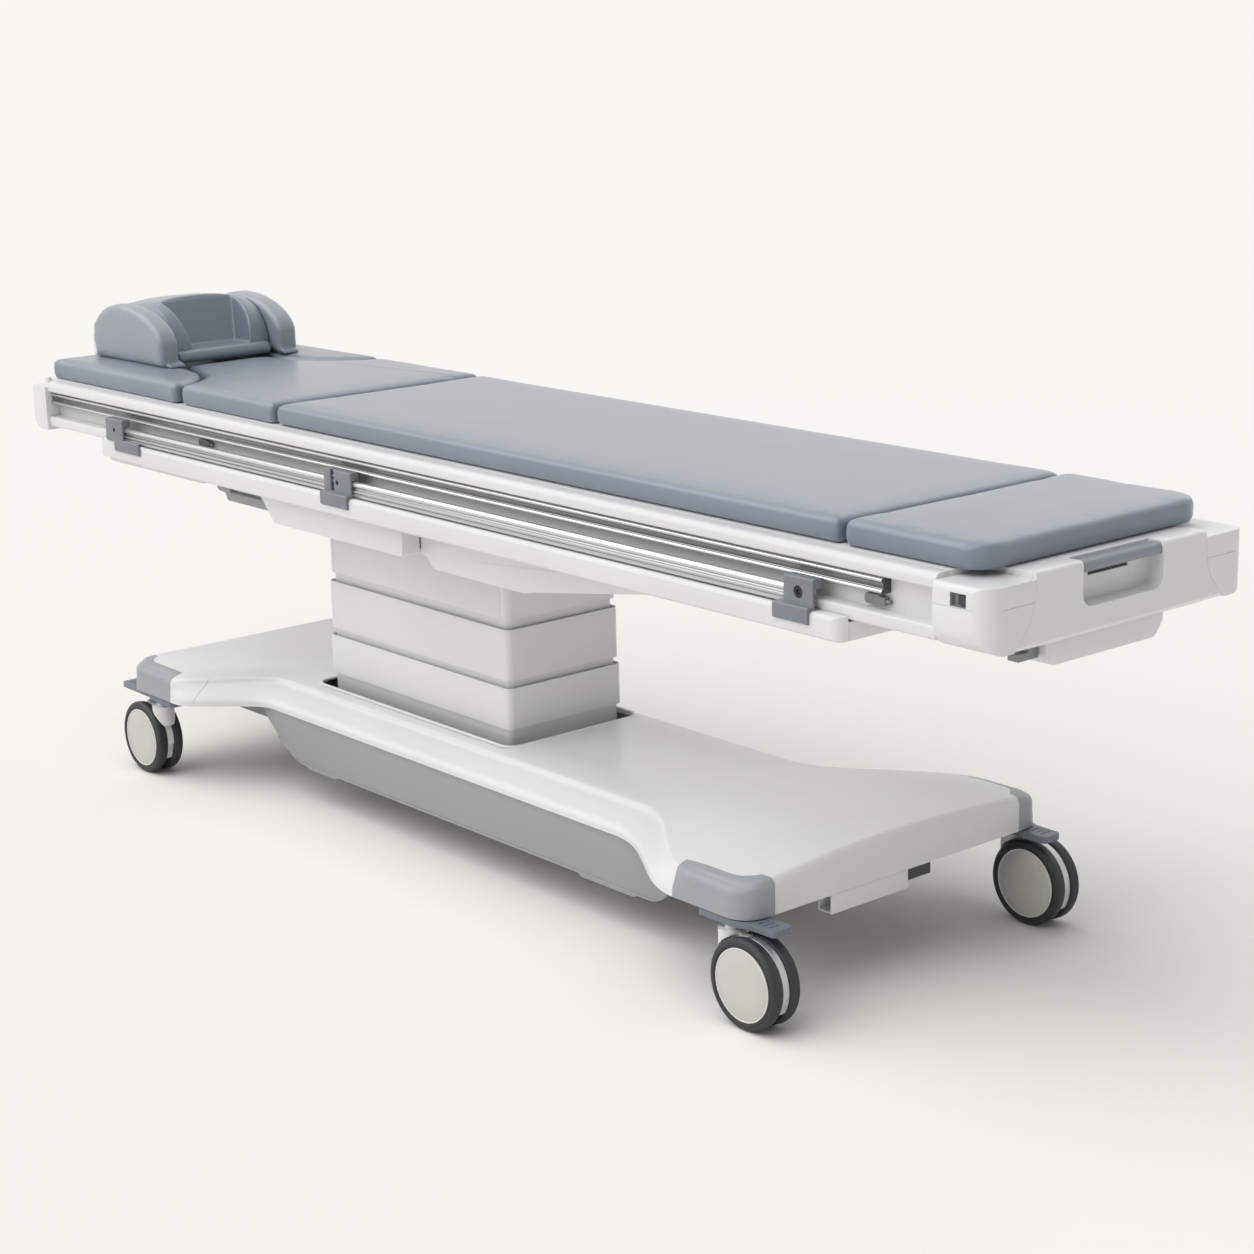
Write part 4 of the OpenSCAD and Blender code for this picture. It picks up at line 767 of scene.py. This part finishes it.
for side, name in ((-1, "right"), (1, "left")):
    outline = round_box(*window, 0.0005, 2)
    painted_shade_liner = across_plate("window_liner_" + name, outline, side * 0.2831, side * 0.2910)
    inner = round_box(*(window + liner_wall), 0.0005, 2)
    cut(painted_shade_liner, across_plate("liner_cutter", inner, side * 0.2833, side * 0.30))
    cut(painted_shade_liner, lathed("button_cutter", button_room, (button_x, side * 0.287, button_z)))
    dress(soften(painted_shade_liner, 40), painted_window_shade)
    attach(painted_shade_liner, "tabletop")
    outline = button_half * round_box(-1, 1, -1, 1, 0.003 / button_half) + (button_x, button_z)
    face = across_plate("button_face_" + name, outline, side * 0.2866, side * 0.2877)
    dress(soften(face, 40), dark_plastic)
    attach(face, frame["nodes"]["release_button_" + name]["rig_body"])
# A near-black plate in the pocket's slot is painted shade: it stands in for the dark inside the slot.
slot = round_box(1.3572, 1.3630, -0.0448, 0.0448, 0.0005, 2)
slot_painted_shade = plate("pocket_slot_painted_shade", slot, 0.7392, 0.7488)
dress(soften(slot_painted_shade, 40), tyre_edge)
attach(slot_painted_shade, "tabletop")


# Pads: firm foam in grey-blue leatherette. Each is made as a closed form a little under size
# and blown up as cloth, held to its size. The main, foot and head pads are plain slabs.
def leatherette(name, colour, rough, pore=1500.0, wrinkle=0.15):
    """Coated cloth: small cells for the grain, slow patches of tone, soft creases."""
    made, wire = blank_material(name)
    place = wire.node("TexCoord", out="Object")
    cells = wire.node("TexVoronoi", {"feature": "DISTANCE_TO_EDGE"}, Vector=place, Scale=pore)
    broad = wire.node("TexNoise", Vector=place, Scale=4.0, Detail=4.0)
    crease = wire.node("TexNoise", Vector=place, Scale=28.0, Detail=3.0, Distortion=0.6)
    dark = tuple(c * 0.93 for c in colour)
    light = tuple(c * 1.05 for c in colour)
    tone = wire.node("ValToRGB", {"stops": [(0.3, dark), (0.7, light)]}, Fac=broad)
    height = cells * 0.7 + crease * wrinkle
    surface = wire.node(
        "BsdfPrincipled",
        Base_Color=tone,
        Roughness=rough + (broad - 0.5) * 0.15 - cells * 0.1,
        Coat_Weight=0.8,
        Coat_Roughness=0.32,
        Normal=wire.node("Bump", Strength=0.25, Distance=0.0004, Height=height),
    )
    surface.socket.node.inputs["Sheen Weight"].default_value = 0.08
    return surfaced(made, surface)


pad_skin = leatherette("pad_leatherette", (0.183, 0.217, 0.277), 0.40)
cloth_ticks, cloth_pressure, underside = 20, 4.0, 0.004


def swollen(piece, voxel, cap, rounds, shrink=0.0):
    """A closed form as an even mesh, rounded, blown up as cloth and held within the cap. Its
    underside stays level."""
    grid = piece.modifiers.new("even", "REMESH")
    grid.mode = "VOXEL"
    grid.voxel_size = voxel
    baked(piece)
    ease = piece.modifiers.new("ease", "SMOOTH")
    ease.iterations = rounds
    ease.factor = 0.5
    if shrink:
        draw = piece.modifiers.new("draw", "DISPLACE")
        draw.strength = -shrink
        draw.mid_level = 0.0
    baked(piece)
    count = len(piece.data.vertices)
    before = np.zeros(count * 3, np.float32)
    piece.data.vertices.foreach_get("co", before)
    before = before.reshape(-1, 3)
    cloth = piece.modifiers.new("cloth", "CLOTH")
    cloth.settings.use_pressure = True
    cloth.settings.uniform_pressure_force = cloth_pressure
    cloth.settings.effector_weights.gravity = 0.0
    for tick in range(1, cloth_ticks + 1):
        scene.frame_set(tick)
    baked(piece)
    scene.frame_set(1)
    after = np.zeros(count * 3, np.float32)
    piece.data.vertices.foreach_get("co", after)
    moved = after.reshape(-1, 3) - before
    far = np.linalg.norm(moved, axis=1, keepdims=True)
    moved = moved * np.minimum(1.0, cap / np.maximum(far, 1e-9))
    low = before[:, 2] < before[:, 2].min() + underside
    moved[:, 2] = np.where(low, 0.0, moved[:, 2])
    piece.data.vertices.foreach_set("co", (before + moved).astype(np.float32).ravel())
    piece.data.update()


def finish_pad(piece, node, skin):
    """One subdivision, smooth shading, the skin, the tabletop body, and the CAD node hidden."""
    finer = piece.modifiers.new("finer", "SUBSURF")
    finer.levels = 1
    finer.render_levels = 1
    baked(piece)
    piece.data.shade_smooth()
    dress(piece, skin)
    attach(piece, "tabletop")
    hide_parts(node)
    return piece


def cushion_for(node, voxel):
    """The node's closed form, drawn in a little and swollen, as a finished pad."""
    piece = copy_of(frame["nodes"][node], node + "_cushion")
    outward(piece, 1e-5)
    swollen(piece, voxel, 0.003, rounds=2, shrink=0.0015)
    return finish_pad(piece, node, pad_skin)


for node, voxel in (
    ("main_pad", 0.007),
    ("foot_pad", 0.0055),
    ("head_pad_left", 0.005),
    ("head_pad_right", 0.005),
):
    cushion_for(node, voxel)


# The shoulder pad has a tongue between the head pads and is sewn from three panels: a middle
# and two wings. Each seam is a narrow valley along a bent line on the top.
def sewn(piece, line, depth, width, above):
    """Lowers the top near a line y = line(x), by a bell of the distance to it, on both sides."""
    count = len(piece.data.vertices)
    points = np.zeros(count * 3, np.float32)
    piece.data.vertices.foreach_get("co", points)
    points = points.reshape(-1, 3)
    off = np.abs(np.abs(points[:, 1]) - line(points[:, 0]))
    bell = np.exp(-((off / width) ** 2))
    points[:, 2] -= np.where(points[:, 2] > above, depth * bell, 0)
    piece.data.vertices.foreach_set("co", points.ravel())
    piece.data.update()


def wing_seam(x):
    """The seam's distance from the middle at each x. There is none on the tongue."""
    seam = np.interp(x, (-0.94, -0.70, -0.465), (0.108, 0.144, 0.192))
    return np.where(x < -0.94, 9.0, seam)


sewn(cushion_for("shoulder_pad", 0.005), wing_seam, 0.0011, 0.0020, 0.79)


# The headrest's cradle is skinned foam in one piece: an arched shell that falls towards the
# foot end, hollowed for the head, with a rolled lip in front. It is worked out as a height.
rest_x0, rest_l, rest_z, rest_h = -1.350, 0.310, 0.8144, 0.1276
cradle_half, hollow_half, hollow_back, hollow_floor = 0.1208, 0.071, -1.127, 0.840


def soft_min(a, b, r):
    """The lower of two heights, with the edge between them rounded over r."""
    h = np.clip(0.5 + 0.5 * (b - a) / r, 0, 1)
    return b + (a - b) * h - r * h * (1 - h)


def arch_height(x, y):
    """The shell's outside: a slow rise to the crest, a quarter ellipse down, arched across Y."""
    t = (x - rest_x0) / rest_l
    rise = np.interp(t, (0, 0.02, 0.08, 0.25, 0.45, 0.6), (0.5, 0.72, 0.83, 0.92, 0.975, 1.0))
    fall = 0.14 + 0.86 * np.sqrt(np.clip(1 - (np.clip(t - 0.6, 0, 0.34) / 0.34) ** 2, 0, 1))
    side = 1 - 0.12 * np.abs(y / cradle_half) ** 2.6
    return rest_z + rest_h * np.where(t < 0.6, rise, fall) * side


def hollow_height(x, y):
    """The hollow: a level floor, a back that leans away, and steep sides that meet it in a crease."""
    back = np.clip(hollow_back + 0.008 * (y / hollow_half) ** 2 - x, 0, None)
    side = np.clip(np.abs(y) - hollow_half, 0, None)
    return hollow_floor + np.maximum(2.2 * back + 6.0 * back**2, 5.5 * side)


xs = rest_x0 + 0.004 + (0.95 * rest_l - 0.004) * np.linspace(0, 1, 200)
ys = cradle_half * np.linspace(-1, 1, 260)
across, along = np.meshgrid(ys, xs)
height = soft_min(arch_height(along, across), hollow_height(along, across), 0.008)
height = np.maximum(height, rest_z + 0.01)
top = np.stack([along, across, height], -1)
bottom = np.stack([along, across, np.full_like(height, rest_z)], -1)
point_count = len(xs) * len(ys)
cells = np.arange(point_count).reshape(len(xs), len(ys))
corners = [cells[:-1, :-1], cells[1:, :-1], cells[1:, 1:], cells[:-1, 1:]]
quads = np.stack(corners, -1).reshape(-1, 4)
rim_loop = np.concatenate([cells[:-1, 0], cells[-1, :-1], cells[:0:-1, -1], cells[0, :0:-1]])
next_loop = np.roll(rim_loop, -1)
walls = np.stack([rim_loop, rim_loop + point_count, next_loop + point_count, next_loop], -1)
faces = quads.tolist() + (quads[:, ::-1] + point_count).tolist() + walls.tolist()
shape = bpy.data.meshes.new("cradle_shape")
shape.from_pydata(np.concatenate([top.reshape(-1, 3), bottom.reshape(-1, 3)]).tolist(), [], faces)
cradle = bpy.data.objects.new("headrest_cradle_foam", shape)
scene.collection.objects.link(cradle)
outward(cradle)
lip_section = np.concatenate(
    [
        arc((-1.050, 0.8244), 0.010, -90, 0, 6),
        arc((-1.056, 0.8244), 0.016, 0, 90, 8),
        arc((-1.074, 0.8264), 0.014, 90, 180, 8),
        [(-1.088, 0.8144)],
    ]
)
lip_y = 0.1205 * np.sin(np.linspace(-1, 1, 40) * math.pi / 2)
pinch = 1 - 0.55 * np.clip((np.abs(lip_y) - 0.108) / 0.0125, 0, 1) ** 2
lip_x, lip_z = -1.066, 0.8244
lip_grid = np.zeros((len(lip_y), len(lip_section), 3))
lip_grid[..., 0] = lip_x + (lip_section[:, 0] - lip_x) * pinch[:, None]
lip_grid[..., 1] = lip_y[:, None]
lip_grid[..., 2] = lip_z + (lip_section[:, 1] - lip_z) * pinch[:, None]
lip_roll = outward(loft("cradle_lip", lip_grid, around=True, ends=True))
cradle_skin = leatherette("cradle_skin", (0.172, 0.212, 0.268), 0.38, pore=2200.0)
bolster_skin = leatherette("bolster_skin", (0.290, 0.320, 0.365), 0.45, pore=1800.0)
swollen(cradle, 0.0028, 0.0006, rounds=3)
finish_pad(cradle, "headrest_cradle", cradle_skin)
sewn(cradle, lambda x: 0.1135 + 0 * x, 0.0010, 0.0016, 0.845)
swollen(lip_roll, 0.003, 0.0008, rounds=4)
finish_pad(lip_roll, "headrest_cradle", cradle_skin)


# Two paler bolsters stand beside the cradle, firm foam with a flat face and a soft rounded edge
# all round. A low wedge of the cradle's foam lies at the foot of each.
def soft_block(name, outline, y0, y1, r):
    """A block along Y. Near each face its outline is drawn in by a quarter circle of radius r."""
    spans = np.linalg.norm(np.roll(outline, -1, 0) - outline, axis=1)
    points = []
    for start, stop, span in zip(outline, np.roll(outline, -1, 0), spans):
        shares = np.linspace(0, 1, max(2, int(span / 0.003)))[:-1, None]
        points.append(start + (stop - start) * shares)
    ring = np.concatenate(points)
    ahead = np.roll(ring, -2, 0) - np.roll(ring, 2, 0)
    ahead = ahead / np.linalg.norm(ahead, axis=1)[:, None]
    inward = np.stack([-ahead[:, 1], ahead[:, 0]], -1)
    turn = np.radians(np.linspace(0, 90, 7))
    draw = np.concatenate([r * (1 - np.sin(turn)), (r * (1 - np.sin(turn)))[::-1]])
    place = np.concatenate([y0 + r * (1 - np.cos(turn)), (y1 - r * (1 - np.cos(turn)))[::-1]])
    grid = np.zeros((len(place), len(ring), 3))
    grid[..., 0] = ring[:, 0] + inward[:, 0] * draw[:, None]
    grid[..., 1] = place[:, None]
    grid[..., 2] = ring[:, 1] + inward[:, 1] * draw[:, None]
    return outward(loft(name, grid, around=True, ends=True), 1e-5)


block_x0, block_l, block_z, block_h = -1.318, 0.297, 0.8146, 0.120
turn = np.radians(np.linspace(7.5, 150, 26))
reach = np.where(turn < math.pi / 2, 0.6, 0.4)
crown = np.stack([0.4 + reach * np.cos(turn), 0.34 + 0.66 * np.sin(turn)], -1)
bolster_line = np.concatenate([[(0.04, 0.0), (1.0, 0.0)], crown, [(0.02, 0.62), (0.0, 0.32)]])
bolster_line = bolster_line * (block_l, block_h) + (block_x0, block_z)
wedge_line = [(-1.036, 0.0), (-1.002, 0.0), (-1.006, 0.007), (-1.022, 0.012), (-1.036, 0.012)]
wedge_line = np.array(wedge_line) + (0.0, block_z)
for side, name in ((-1, "right"), (1, "left")):
    near, far = sorted((side * 0.1238, side * 0.1700))
    block = soft_block("headrest_bolster_" + name, bolster_line, near, far, 0.011)
    swollen(block, 0.003, 0.0008, rounds=3)
    finish_pad(block, "headrest_bolsters", bolster_skin)
    near, far = sorted((side * 0.1225, side * 0.1605))
    wedge = soft_block("bolster_wedge_" + name, wedge_line, near, far, 0.004)
    swollen(wedge, 0.002, 0.0005, rounds=2)
    finish_pad(wedge, "headrest_bolsters", cradle_skin)


scene.view_settings.view_transform = "Standard"
